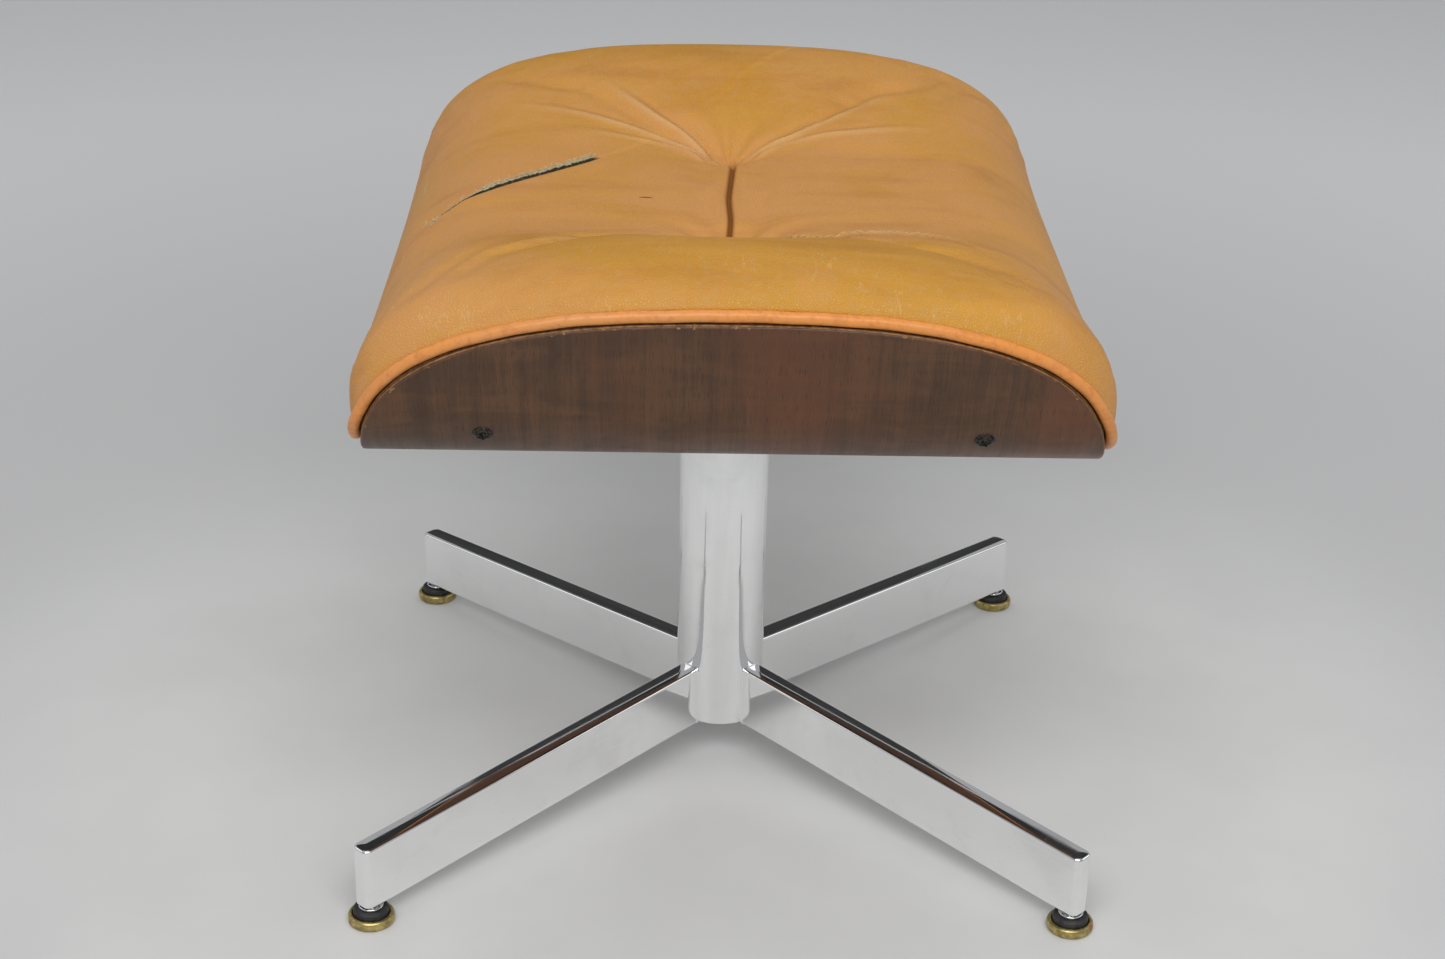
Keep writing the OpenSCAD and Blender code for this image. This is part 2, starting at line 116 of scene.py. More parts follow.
# ---------------------------------------------------------------- camera
def aim_camera(height, distance, down, across, turn, roll, lens):
    """Camera in front of the seat, looking down at it, turned about the column's axis."""
    right = Vector((1, 0, 0))
    ahead = Vector((0, math.cos(down), -math.sin(down)))
    up = right.cross(ahead)
    tilted_right = right * math.cos(roll) + up * math.sin(roll)
    tilted_up = up * math.cos(roll) - right * math.sin(roll)
    spin = Matrix.Rotation(-turn, 3, "Z")
    axes = [spin @ tilted_right, spin @ tilted_up, spin @ -ahead]
    pose = Matrix(axes).transposed().to_4x4()
    pose.translation = spin @ Vector((across, -distance, height))
    data = set_all(bpy.data.cameras.new("camera"), lens=lens, sensor_width=36, clip_start=0.05)
    bpy.context.scene.camera = new_object("camera", data, matrix_world=pose)


aim_camera(height=0.8575, distance=1.4337, down=math.radians(24.718), across=-0.001,
           turn=math.radians(1.2), roll=math.radians(1.294), lens=60.85)


# ---------------------------------------------------------------- node helpers
def add(tree, kind, settings=None, **inputs):
    """A new node; inputs are linked when they are sockets and set when they are values."""
    node = set_all(tree.nodes.new(kind), **(settings or {}))
    fill(tree, node.inputs, **inputs)
    return node


def fill(tree, sockets, **values):
    """Joins values to sockets by name, with _ for a space, or by number, as i0, i1 and so on."""
    for key, value in values.items():
        numbered = key[0] == "i" and key[1:].isdigit()
        join(tree, value, sockets[int(key[1:]) if numbered else key.replace("_", " ")])


def join(tree, value, socket):
    if isinstance(value, bpy.types.NodeSocket):
        tree.links.new(value, socket)
    else:
        socket.default_value = value


def maths(tree, operation, a, b=0.0):
    return add(tree, "ShaderNodeMath", {"operation": operation}, i0=a, i1=b).outputs[0]


def times(tree, a, b):
    return maths(tree, "MULTIPLY", a, b)


def minus(tree, a, b):
    return maths(tree, "SUBTRACT", a, b)


def times_plus(tree, a, b, c, clamp=False):
    settings = {"operation": "MULTIPLY_ADD", "use_clamp": clamp}
    return add(tree, "ShaderNodeMath", settings, i0=a, i1=b, i2=c).outputs[0]


def offset_from(tree, vector, point):
    return add(tree, "ShaderNodeVectorMath", {"operation": "SUBTRACT"}, i0=vector, i1=point).outputs[0]


def length_of(tree, vector):
    return add(tree, "ShaderNodeVectorMath", {"operation": "LENGTH"}, i0=vector).outputs["Value"]


def parts_of(tree, vector):
    return add(tree, "ShaderNodeSeparateXYZ", None, Vector=vector).outputs


def remap(tree, value, low, high, to_low=0.0, to_high=1.0):
    settings = {"interpolation_type": "SMOOTHSTEP"}
    return add(tree, "ShaderNodeMapRange", settings, i0=value, i1=low, i2=high, i3=to_low,
               i4=to_high).outputs[0]


def between(tree, value, rise, fall):
    return times(tree, remap(tree, value, *rise), remap(tree, value, *fall, 1.0, 0.0))


def blend_colour(tree, share, a, b):
    return add(tree, "ShaderNodeMix", {"data_type": "RGBA"}, i0=share, i6=a, i7=b).outputs[2]


def noise(tree, vector, scale, detail=4.0, roughness=0.55, distortion=0.0):
    node = add(tree, "ShaderNodeTexNoise", None, Vector=vector, Scale=scale, Detail=detail,
               Roughness=roughness, Distortion=distortion)
    return node.outputs["Fac"]


def stretched(tree, vector, scale, turn=0.0):
    node = add(tree, "ShaderNodeMapping", None, Vector=vector, Scale=scale, Rotation=(0, 0, turn))
    return node.outputs["Vector"]


def shader_group(name, inputs, outputs):
    """A node group that takes a point and some numbers, and gives numbers."""
    tree = bpy.data.node_groups.new(name, "ShaderNodeTree")
    tree.interface.new_socket("Vector", in_out="INPUT", socket_type="NodeSocketVector")
    for label, value in inputs.items():
        tree.interface.new_socket(label, in_out="INPUT", socket_type="NodeSocketFloat").default_value = value
    for label in outputs:
        tree.interface.new_socket(label, in_out="OUTPUT", socket_type="NodeSocketFloat")
    return tree, tree.nodes.new("NodeGroupInput").outputs, tree.nodes.new("NodeGroupOutput").inputs


def use(tree, group, **inputs):
    return add(tree, "ShaderNodeGroup", {"node_tree": group}, **inputs).outputs


def finish_of(name, **principled):
    """A new material; values set here stay on the shader's own sockets."""
    material = bpy.data.materials.new(name)
    material.use_nodes = True
    tree = material.node_tree
    shader = tree.nodes["Principled BSDF"].inputs
    fill(tree, shader, **principled)
    return material, tree, shader, add(tree, "ShaderNodeTexCoord").outputs["Object"]


def bump(tree, height, strength, distance):
    node = add(tree, "ShaderNodeBump", None, Height=height, Strength=strength, Distance=distance)
    return node.outputs["Normal"]


def surface(tree, shader, colour, rough, height, strength, distance):
    fill(tree, shader, Base_Color=colour, Roughness=rough, Normal=bump(tree, height, strength, distance))


def layered(tree, colour, layers):
    """A colour with others laid over it, each by its share."""
    for share, over in layers:
        colour = blend_colour(tree, share, colour, over)
    return colour


def attribute(tree, name):
    return add(tree, "ShaderNodeAttribute", {"attribute_name": name}).outputs["Fac"]


def srgb(red, green, blue, gain=1.0):
    """Linear colour from eight-bit values, brightened by gain."""
    parts = [v / 255 for v in (red, green, blue)]
    line = [v / 12.92 if v <= 0.04045 else ((v + 0.055) / 1.055) ** 2.4 for v in parts]
    return (*[min(1.0, v * gain) for v in line], 1.0)


# ---------------------------------------------------------------- shared shader groups
def build_leather_grain():
    """Pebbled grain, fine pores and slow mottling, from the point in metres."""
    tree, given, out = shader_group("leather_grain", {"Pebbles per metre": 620.0, "Mottles per metre": 9.0},
                                    ["Height", "Pores", "Mottle", "Flecks"])
    warp = add(tree, "ShaderNodeTexNoise", None, Vector=given[0], Scale=160.0, Detail=2.0)
    shift = add(tree, "ShaderNodeVectorMath", {"operation": "MULTIPLY_ADD"}, i0=warp.outputs["Color"],
                i1=(0.0016, 0.0016, 0.0016), i2=given[0]).outputs[0]
    cells = add(tree, "ShaderNodeTexVoronoi", {"feature": "DISTANCE_TO_EDGE"}, Vector=shift, Scale=given[1])
    pebble = remap(tree, cells.outputs["Distance"], 0.0, 0.32)
    finer = noise(tree, given[0], 2400.0, 2.0)
    height = times_plus(tree, finer, 0.25, pebble)
    slow = noise(tree, given[0], given[2], 5.0, 0.6, 0.4)
    quick = noise(tree, given[0], 210.0, 3.0, 0.7)
    fill(tree, out, Height=height, Pores=minus(tree, 1.0, pebble), Mottle=slow, Flecks=quick)
    return tree


def build_wood_figure():
    """Straight to wavy figure with pores, along the second coordinate of the blank, in metres."""
    tree, given, out = shader_group("wood_figure", {"Bands per metre": 55.0}, ["Tone", "Pores", "Flow"])
    flow = noise(tree, stretched(tree, given[0], (9.0, 2.2, 1.0)), 1.0, 3.0, 0.5, 0.8)
    across = times_plus(tree, flow, 0.09, parts_of(tree, given[0])[0])
    bands = maths(tree, "SINE", times(tree, times(tree, across, given[1]), 2 * math.pi))
    fine = noise(tree, stretched(tree, given[0], (900.0, 26.0, 1.0)), 1.0, 4.0, 0.65)
    streak = noise(tree, stretched(tree, given[0], (190.0, 5.0, 1.0)), 1.0, 3.0, 0.6, 0.3)
    pores = noise(tree, stretched(tree, given[0], (2600.0, 110.0, 1.0)), 1.0, 1.0, 0.4)
    tone = times_plus(tree, bands, 0.06, streak)
    tone = times_plus(tree, minus(tree, fine, 0.5), 0.8, tone)
    fill(tree, out, Tone=tone, Pores=remap(tree, pores, 0.6, 0.72), Flow=flow)
    return tree


def build_handling_marks():
    """Smears and specks that a hand or a cloth leaves, as one mask."""
    tree, given, out = shader_group("handling_marks", {"Smears per metre": 22.0}, ["Smear", "Specks"])
    broad = noise(tree, given[0], given[1], 4.0, 0.6, 0.5)
    wiped = noise(tree, stretched(tree, given[0], (60.0, 60.0, 420.0)), 1.0, 3.0)
    smear = times(tree, remap(tree, broad, 0.48, 0.74), wiped)
    specks = add(tree, "ShaderNodeTexVoronoi", None, Vector=given[0], Scale=170.0)
    fill(tree, out, Smear=smear, Specks=remap(tree, specks.outputs["Distance"], 0.0, 0.11, 1.0, 0.0))
    return tree


def build_worn_edge():
    """Ragged mask that eats in from an edge value of 1 at the edge."""
    tree, given, out = shader_group("worn_edge", {"Edge": 0.0, "Nicks per metre": 120.0, "Reach": 0.6},
                                    ["Worn"])
    ragged = noise(tree, given[0], given[2], 5.0, 0.7)
    level = times(tree, given[1], ragged)
    start = minus(tree, 1.0, given[3])
    fill(tree, out, Worn=remap(tree, level, start, maths(tree, "ADD", start, 0.06)))
    return tree


leather_grain = build_leather_grain()
wood_figure = build_wood_figure()
handling_marks = build_handling_marks()
worn_edge = build_worn_edge()

# Tear in the leather: its middle, direction and half length on the pad's plan, in metres
TEAR_MID = (-0.1290, 0.0100)
TEAR_TURN = math.radians(43)
TEAR_HALF = 0.0650
PAD_TOP_LOW = 0.33


# ---------------------------------------------------------------- materials
def leather_finish():
    material, tree, shader, place = finish_of("pad_leather_worn", Specular_IOR_Level=0.42)
    grain = use(tree, leather_grain, Vector=place)
    tan = srgb(208, 150, 50, 1.04)
    pink_mottle_and_sheen = srgb(212, 151, 84, 1.10)
    deep = srgb(184, 116, 42, 0.98)
    aside, away = [maths(tree, "ABSOLUTE", part) for part in parts_of(tree, place)[:2]]
    # Pink laid on the sides and the valley, away from the crowns, is painted sheen; the broad mottle part of
    # the mix is the leather's own tone.
    crown = times(tree, remap(tree, away, 0.075, 0.150), remap(tree, aside, 0.09, 0.19, 1.0, 0.0))
    broad = remap(tree, grain["Mottle"], 0.36, 0.62, 0.0, 0.75)
    share = times_plus(tree, crown, -0.62, maths(tree, "ADD", broad, 0.42), clamp=True)
    pulled = noise(tree, stretched(tree, place, (8.0, 24.0, 20.0), 0.3), 1.0, 5.0, 0.62, 0.5)
    sunny = noise(tree, stretched(tree, place, (5.0, 22.0, 20.0), -0.25), 1.0, 4.0, 0.6, 0.4)
    # Darker brown in the fold channel and along crease valleys is painted shade.
    fold_and_crease_shade = attribute(tree, "fold_and_crease_shade")
    colour = layered(tree, blend_colour(tree, share, tan, pink_mottle_and_sheen), [
        (remap(tree, pulled, 0.46, 0.74, 0.0, 0.42), deep),
        (remap(tree, sunny, 0.50, 0.68, 0.0, 0.50), srgb(220, 158, 58, 1.08)),
        (remap(tree, grain["Flecks"], 0.42, 0.70, 0.0, 0.30), srgb(214, 170, 108, 0.9)),
        (times(tree, grain["Pores"], 0.16), deep),
        # Pale colour on the crease ridges is a painted highlight.
        (times(tree, attribute(tree, "crest"), 0.56), srgb(232, 192, 140)),
        (fold_and_crease_shade, srgb(128, 78, 20, 1.25))])
    stretch = noise(tree, stretched(tree, place, (95.0, 26.0, 26.0), 0.45), 1.0, 3.0, 0.55, 0.6)
    from_line = maths(tree, "ABSOLUTE", minus(tree, stretch, 0.5))
    hairs = times(tree, remap(tree, from_line, 0.0, 0.010, 1.0, 0.0),
                  remap(tree, noise(tree, place, 30.0, 3.0), 0.46, 0.60))
    hairs = times(tree, hairs, remap(tree, away, 0.15, 0.215, 0.07, 0.42))
    # tear: a slit painted dark as shade in its opening, open along most of its length, under a pale frayed
    # edge
    plan = add(tree, "ShaderNodeUVMap", {"uv_map": "plan"}).outputs[0]
    turned = add(tree, "ShaderNodeVectorRotate", {"rotation_type": "Z_AXIS"}, Angle=-TEAR_TURN,
                 Vector=offset_from(tree, plan, (*TEAR_MID, 0))).outputs[0]
    along, off, _ = parts_of(tree, turned)
    wander = noise(tree, stretched(tree, turned, (90.0, 0.0, 0.0)), 1.0, 5.0, 0.7)
    shifted = times_plus(tree, minus(tree, wander, 0.5), 0.0040, off)
    bowed = times_plus(tree, times(tree, along, along), -0.5, shifted)
    reach = maths(tree, "ABSOLUTE", along)
    ends = remap(tree, reach, TEAR_HALF - 0.006, TEAR_HALF, 1.0, 0.0)
    wide = remap(tree, along, -0.046, -0.024, 0.34, 1.0)
    scaled = maths(tree, "DIVIDE", bowed, wide)
    threads = noise(tree, stretched(tree, turned, (1500.0, 420.0, 0.0)), 1.0, 3.0, 0.7)
    ragged = times_plus(tree, minus(tree, threads, 0.5), 0.0030, scaled)
    slit = between(tree, ragged, (-0.0042, -0.0036), (0.0006, 0.0011))
    frayed = between(tree, ragged, (0.0004, 0.0008), (0.0016, 0.0024))
    frayed = times(tree, times(tree, frayed, ends), remap(tree, threads, 0.26, 0.46))
    # Dark in the slit is painted shade; the pale flecks are backing threads.
    inner = blend_colour(tree, remap(tree, threads, 0.56, 0.66), srgb(44, 36, 12, 0.8), srgb(150, 138, 100))
    # frayed star at the tear's far end, with painted shade in its dark centre
    star = stretched(tree, offset_from(tree, turned, (-0.0665, 0.0030, 0)), (0.9, 1.6, 1.0))
    blown = times_plus(tree, minus(tree, threads, 0.5), 0.012, length_of(tree, star))
    # small nick
    nick = stretched(tree, offset_from(tree, plan, (-0.0515, -0.0250, 0)), (0.30, 1.3, 1.0))
    colour = layered(tree, colour, [
        (hairs, srgb(226, 186, 124)),
        (times(tree, slit, ends), inner),
        (frayed, srgb(196, 186, 152)),
        (remap(tree, blown, 0.0034, 0.0044, 1.0, 0.0), srgb(196, 184, 146)),
        (remap(tree, blown, 0.0006, 0.0014, 1.0, 0.0), srgb(70, 58, 30)),
        (remap(tree, length_of(tree, nick), 0.0010, 0.0016, 0.85, 0.0), srgb(70, 48, 22))])
    rough = remap(tree, grain["Mottle"], 0.3, 0.7, 0.40, 0.52)
    rough = times_plus(tree, grain["Pores"], 0.12, rough)
    rough = times_plus(tree, maths(tree, "MAXIMUM", fold_and_crease_shade, slit), 0.4, rough)
    wrinkle = noise(tree, stretched(tree, place, (150.0, 60.0, 60.0)), 1.0, 4.0, 0.6, 0.5)
    surface(tree, shader, colour, rough, times_plus(tree, wrinkle, 0.9, grain["Height"]), 0.50, 0.00045)
    return material


def piping_finish():
    material, tree, shader, place = finish_of("piping_leather_worn")
    grain = use(tree, leather_grain, Vector=place, Pebbles_per_metre=900.0)
    colour = layered(tree, srgb(228, 146, 68, 1.1), [
        (remap(tree, grain["Mottle"], 0.35, 0.65), srgb(220, 148, 82, 1.1)),
        (remap(tree, grain["Flecks"], 0.45, 0.7, 0.0, 0.4), srgb(196, 114, 54, 0.95))])
    height = times_plus(tree, noise(tree, place, 620.0, 3.0), 0.5, grain["Height"])
    surface(tree, shader, colour, remap(tree, grain["Flecks"], 0.3, 0.7, 0.34, 0.46), height, 0.22, 0.0002)
    return material


def walnut_finish():
    material, tree, shader, place = finish_of("walnut_ply_lacquered", Specular_IOR_Level=0.35,
                                              Coat_Weight=0.15, Coat_Roughness=0.3)
    blank = add(tree, "ShaderNodeUVMap", {"uv_map": "blank"}).outputs[0]
    figure = use(tree, wood_figure, Vector=blank)
    clouds = noise(tree, stretched(tree, blank, (14.0, 40.0, 1.0)), 1.0, 4.0, 0.6, 0.6)
    blotch = remap(tree, clouds, 0.40, 0.66)
    tone = remap(tree, times_plus(tree, blotch, 0.35, figure["Tone"]), 0.22, 1.1)
    face = layered(tree, srgb(74, 49, 30, 0.95), [
        (tone, srgb(102, 68, 40, 0.98)),
        (remap(tree, figure["Flow"], 0.45, 0.65, 0.0, 0.6), srgb(112, 66, 38, 0.98)),
        (times(tree, figure["Pores"], 0.6), srgb(44, 26, 18))])
    # veneers on the edge
    veneers = add(tree, "ShaderNodeValToRGB", None, Fac=attribute(tree, "depth"))
    ramp = veneers.color_ramp
    ramp.interpolation = "CONSTANT"
    layers = [(0.0, srgb(104, 68, 48)), (0.11, srgb(176, 142, 98)), (0.25, srgb(122, 88, 56)),
              (0.38, srgb(184, 150, 106)), (0.62, srgb(124, 90, 58)), (0.75, srgb(178, 144, 100)),
              (0.89, srgb(104, 68, 48))]
    ramp.elements[0].color = layers[0][1]
    ramp.elements[1].position, ramp.elements[1].color = layers[1]
    for position, colour in layers[2:]:
        ramp.elements.new(position).color = colour
    grime = noise(tree, place, 300.0, 4.0)
    side = blend_colour(tree, remap(tree, grime, 0.35, 0.7, 0.1, 0.65), veneers.outputs[0], srgb(70, 46, 30))
    near_edge = attribute(tree, "near_edge")
    worn = use(tree, worn_edge, Vector=place, Edge=near_edge, Nicks_per_metre=240.0, Reach=0.42)["Worn"]
    colour = layered(tree, face, [(remap(tree, attribute(tree, "on_edge"), 0.35, 0.65), side),
                                  (worn, srgb(160, 120, 78))])
    marks = use(tree, handling_marks, Vector=place)
    rough = times_plus(tree, marks["Smear"], 0.18, remap(tree, tone, 0.0, 1.0, 0.46, 0.38))
    rough = times_plus(tree, worn, 0.3, rough)
    height = times_plus(tree, figure["Pores"], -1.0, times(tree, tone, 0.35))
    surface(tree, shader, colour, rough, times_plus(tree, worn, -1.2, height), 0.35, 0.0002)
    return material


def chrome_finish():
    material, tree, shader, place = finish_of("chrome_plated", Metallic=1.0)
    marks = use(tree, handling_marks, Vector=place)
    colour = layered(tree, (0.97, 0.972, 0.975, 1), [
        (times(tree, marks["Smear"], 0.5), (0.72, 0.72, 0.715, 1)),
        (times(tree, marks["Specks"], 0.35), (0.34, 0.32, 0.30, 1))])
    rough = times_plus(tree, marks["Specks"], 0.2, times_plus(tree, marks["Smear"], 0.22, 0.045))
    drawn = noise(tree, stretched(tree, place, (40.0, 40.0, 9.0)), 1.0, 2.0)
    surface(tree, shader, colour, rough, drawn, 0.05, 0.0004)
    return material


def metal_finish(name, clean, dull, rough_low, rough_high, spots=240.0):
    """Bare, plated or blacked metal with cloudy dulling and small pits."""
    material, tree, shader, place = finish_of(name, Metallic=1.0)
    cloud = noise(tree, place, spots, 5.0, 0.65)
    marks = use(tree, handling_marks, Vector=place, Smears_per_metre=60.0)
    colour = blend_colour(tree, remap(tree, cloud, 0.38, 0.66), clean, dull)
    rough = times_plus(tree, marks["Smear"], 0.12, remap(tree, cloud, 0.35, 0.7, rough_low, rough_high))
    surface(tree, shader, colour, rough, noise(tree, place, spots * 9, 3.0), 0.3, 0.00015)
    return material


def brass_finish():
    material, tree, shader, place = finish_of("aged_brass", Metallic=1.0)
    cloud = noise(tree, place, 190.0, 5.0, 0.7)
    fine = noise(tree, place, 1500.0, 3.0)
    rust = remap(tree, noise(tree, place, 62.0, 4.0), 0.62, 0.70, 0.0, 0.8)
    colour = layered(tree, srgb(214, 196, 132), [
        (remap(tree, cloud, 0.36, 0.64), srgb(160, 142, 90)),
        (remap(tree, fine, 0.5, 0.72, 0.0, 0.5), srgb(120, 92, 52)),
        (rust, srgb(150, 88, 50))])
    rough = times_plus(tree, rust, 0.3, remap(tree, cloud, 0.3, 0.7, 0.30, 0.46))
    surface(tree, shader, colour, rough, fine, 0.25, 0.0002)
    fill(tree, shader, Metallic=remap(tree, rust, 0.0, 1.0, 1.0, 0.3))
    return material


def dull_finish(name, clean, dirty, rough, grain_scale, depth, sheen=0.0):
    """Rubber, nylon, felted or foamed surface: two tones and a fine grain."""
    material, tree, shader, place = finish_of(name, Sheen_Weight=sheen)
    cloud = noise(tree, place, grain_scale * 0.12, 4.0, 0.6)
    grain = noise(tree, place, grain_scale, 3.0, 0.6)
    colour = blend_colour(tree, remap(tree, cloud, 0.36, 0.68), clean, dirty)
    surface(tree, shader, colour, remap(tree, grain, 0.3, 0.7, rough - 0.07, rough + 0.07), grain, 0.4, depth)
    return material


def board_finish():
    material, tree, shader, place = finish_of("birch_board")
    figure = use(tree, wood_figure, Vector=place, Bands_per_metre=30.0)
    tone = figure["Tone"]
    colour = layered(tree, srgb(188, 156, 112), [
        (remap(tree, tone, 0.25, 0.8), srgb(212, 184, 142)), (figure["Pores"], srgb(150, 116, 76))])
    surface(tree, shader, colour, remap(tree, tone, 0.2, 0.8, 0.55, 0.68), tone, 0.2, 0.0002)
    return material


def foam_finish():
    material, tree, shader, place = finish_of("open_foam", Sheen_Weight=0.1)
    cells = add(tree, "ShaderNodeTexVoronoi", {"feature": "SMOOTH_F1"}, Vector=place, Scale=900.0)
    share = remap(tree, cells.outputs["Distance"], 0.1, 0.5)
    colour = blend_colour(tree, share, srgb(176, 158, 112), srgb(226, 212, 168))
    surface(tree, shader, colour, remap(tree, share, 0.0, 1.0, 0.95, 0.85), share, 0.6, 0.0005)
    return material


leather = leather_finish()
piping_leather = piping_finish()
walnut = walnut_finish()
chrome = chrome_finish()
brass = brass_finish()
birch = board_finish()
foam = foam_finish()
zinc = metal_finish("zinc_plated_steel", (0.62, 0.62, 0.60, 1), (0.40, 0.40, 0.38, 1), 0.26, 0.46)
black_steel = metal_finish("blacked_steel", (0.030, 0.030, 0.034, 1), (0.075, 0.070, 0.066, 1), 0.34, 0.55)
screw_black = metal_finish("screw_black", (0.020, 0.020, 0.022, 1), (0.10, 0.085, 0.065, 1),
                           0.30, 0.50, 900.0)
rubber = dull_finish("black_rubber", srgb(34, 34, 36), srgb(58, 57, 56), 0.55, 1400.0, 0.0002)
nylon = dull_finish("white_nylon", srgb(226, 224, 214), srgb(204, 200, 186), 0.42, 900.0, 0.0001)
twine = dull_finish("waxed_twine", srgb(206, 188, 150), srgb(172, 150, 110), 0.75, 2600.0, 0.0004, 0.2)
fray = dull_finish("frayed_backing", srgb(222, 212, 178), srgb(190, 176, 136), 0.85, 3000.0, 0.0002, 0.2)


# ---------------------------------------------------------------- mesh helpers
def piece_from(name, points, faces, material, body, stands_for, weighted=False):
    """A piece from points in millimetres; it rides on a body and stands for CAD nodes."""
    mesh = new_mesh(name, np.asarray(points, float) * MM, faces, material)
    mesh.shade_smooth()
    return place_piece(name, mesh, body, stands_for, weighted)


def place_piece(name, mesh, body, stands_for, weighted=False):
    piece = new_object(name, mesh)
    if weighted:
        piece.modifiers.new("weighted", "WEIGHTED_NORMAL").weight = NORMAL_WEIGHT
    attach(piece, body)
    if stands_for:
        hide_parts(*stands_for)
    return piece


def joined(first, second):
    """Quads between two closed loops of point numbers, the second to the left of the first."""
    return np.column_stack([first, second, np.roll(second, -1), np.roll(first, -1)]).tolist()


def band(low, high):
    """Quads between two closed loops of point numbers, the higher loop to the left of the lower."""
    return np.column_stack([low, np.roll(low, -1), np.roll(high, -1), high]).tolist()


def circle(r, z, segments, centre=(0, 0)):
    turn = np.linspace(0, 2 * math.pi, segments, endpoint=False)
    return [(centre[0] + r * math.cos(a), centre[1] + r * math.sin(a), z) for a in turn]


def capped_loops(first, loops, last):
    """Points and faces of a stack of closed loops between two end points."""
    count = len(loops[0])
    points = [first, *[point for loop in loops for point in loop], last]
    numbers = [1 + k * count + np.arange(count) for k in range(len(loops))]
    low, high = numbers[0], numbers[-1]
    faces = np.column_stack([0 * low, np.roll(low, -1), low]).tolist()
    faces += np.column_stack([high, np.roll(high, -1), 0 * high + len(points) - 1]).tolist()
    for below, above in zip(numbers, numbers[1:]):
        faces += band(below, above)
    return points, faces


def fillet(corners, steps=5):
    """Closed outline [[r, z, radius], ...] with its corners rounded."""
    out = []
    n = len(corners)
    for k, (x, y, radius) in enumerate(corners):
        here = np.array([x, y])
        before = np.array(corners[k - 1][:2]) - here
        after = np.array(corners[(k + 1) % n][:2]) - here
        if radius <= 0:
            out.append(here)
            continue
        before = before / np.linalg.norm(before)
        after = after / np.linalg.norm(after)
        half = math.acos(np.clip(before @ after, -1, 1)) / 2
        middle = before + after
        centre = here + middle / np.linalg.norm(middle) * radius / math.sin(half)
        start = here + before * radius / math.tan(half) - centre
        end = here + after * radius / math.tan(half) - centre
        sweep = math.atan2(start[0] * end[1] - start[1] * end[0], start @ end)
        for step in range(steps + 1):
            out.append(centre + np.array(spun(*start, sweep * step / steps)))
    return out


def lathe(profile, centre=(0, 0), segments=96):
    """Points and faces of a closed profile turned about a vertical axis; points on the axis are merged."""
    points = []
    loops = []
    for r, z in profile:
        on_axis = r <= 1e-6
        loops.append(len(points) + np.arange(1 if on_axis else segments))
        points += [(*centre, z)] if on_axis else circle(r, z, segments, centre)
    faces = []
    for low, high in zip(loops, loops[1:] + loops[:1]):
        if len(low) > 1 and len(high) > 1:
            faces += band(low, high)
        elif len(low) > 1:
            faces += [(a, b, high[0]) for a, b in zip(low, np.roll(low, -1))]
        elif len(high) > 1:
            faces += [(low[0], b, a) for a, b in zip(high, np.roll(high, -1))]
    return points, [[int(corner) for corner in face] for face in faces]


def signed_power(v, p):
    return np.sign(v) * np.abs(v) ** p


def smooth(v):
    c = np.clip(v, 0, 1)
    return c * c * (3 - 2 * c)


# ---------------------------------------------------------------- the bent blank
def wrap(x, s, n):
    """Points at arc length s along the shell's outer face, x across it and n inwards from it."""
    x, s, n = np.broadcast_arrays(np.asarray(x, float), s, n)
    u = np.abs(s)
    side = np.where(s < 0, -1.0, 1.0)
    r = BEND_R - n
    a = np.clip((u - FLAT_L) / BEND_R, 0, BEND_A)
    v = np.maximum(u - FLAT_L - BEND_LEN, 0)
    along = np.minimum(u, FLAT_L) + r * np.sin(a) + v * np.cos(BEND_A)
    height = SHELL_Z + BEND_R - r * np.cos(a) + v * np.sin(BEND_A)
    return np.stack([x, side * along, height], -1)


def rim(t, g):
    """Blank's outline grown by g, as x and s; t runs from 0 to 4 anticlockwise."""
    part = np.floor(t) % 4
    f = t - np.floor(t)
    side = np.where(part < 2, 1.0, -1.0)
    a = math.pi * f
    p = 2 / ARCH_POWER
    arched = part % 2 == 0
    x = np.where(arched, side * (HALF_W + g) * signed_power(np.cos(a), p), -side * (HALF_W + g))
    arch = SIDE_L + (ARCH_L + g) * signed_power(np.sin(a), p)
    s = np.where(arched, side * arch, side * SIDE_L * (1 - 2 * f))
    return x, s


def by_length(first, last):
    """Outline parameter against a ratio from -1 to 1 that runs evenly along the outline."""
    t = np.linspace(first, last, 9001)
    x, s = rim(t, 0.0)
    run = np.concatenate([[0], np.cumsum(np.hypot(np.diff(x), np.diff(s)))])
    return 2 * run / run[-1] - 1, t


SIDE_RATIO, SIDE_T = by_length(-1.25, 0.25)
END_RATIO, END_T = by_length(0.75, 0.25)


def square_lines(count, dense):
    """count + 1 values from -1 to 1, closer together where dense asks for it."""
    v = np.linspace(-1, 1, 4001)
    run = np.cumsum(dense(v))
    run = (run - run[0]) / (run[-1] - run[0])
    return np.interp(np.linspace(0, 1, count + 1), run, v)


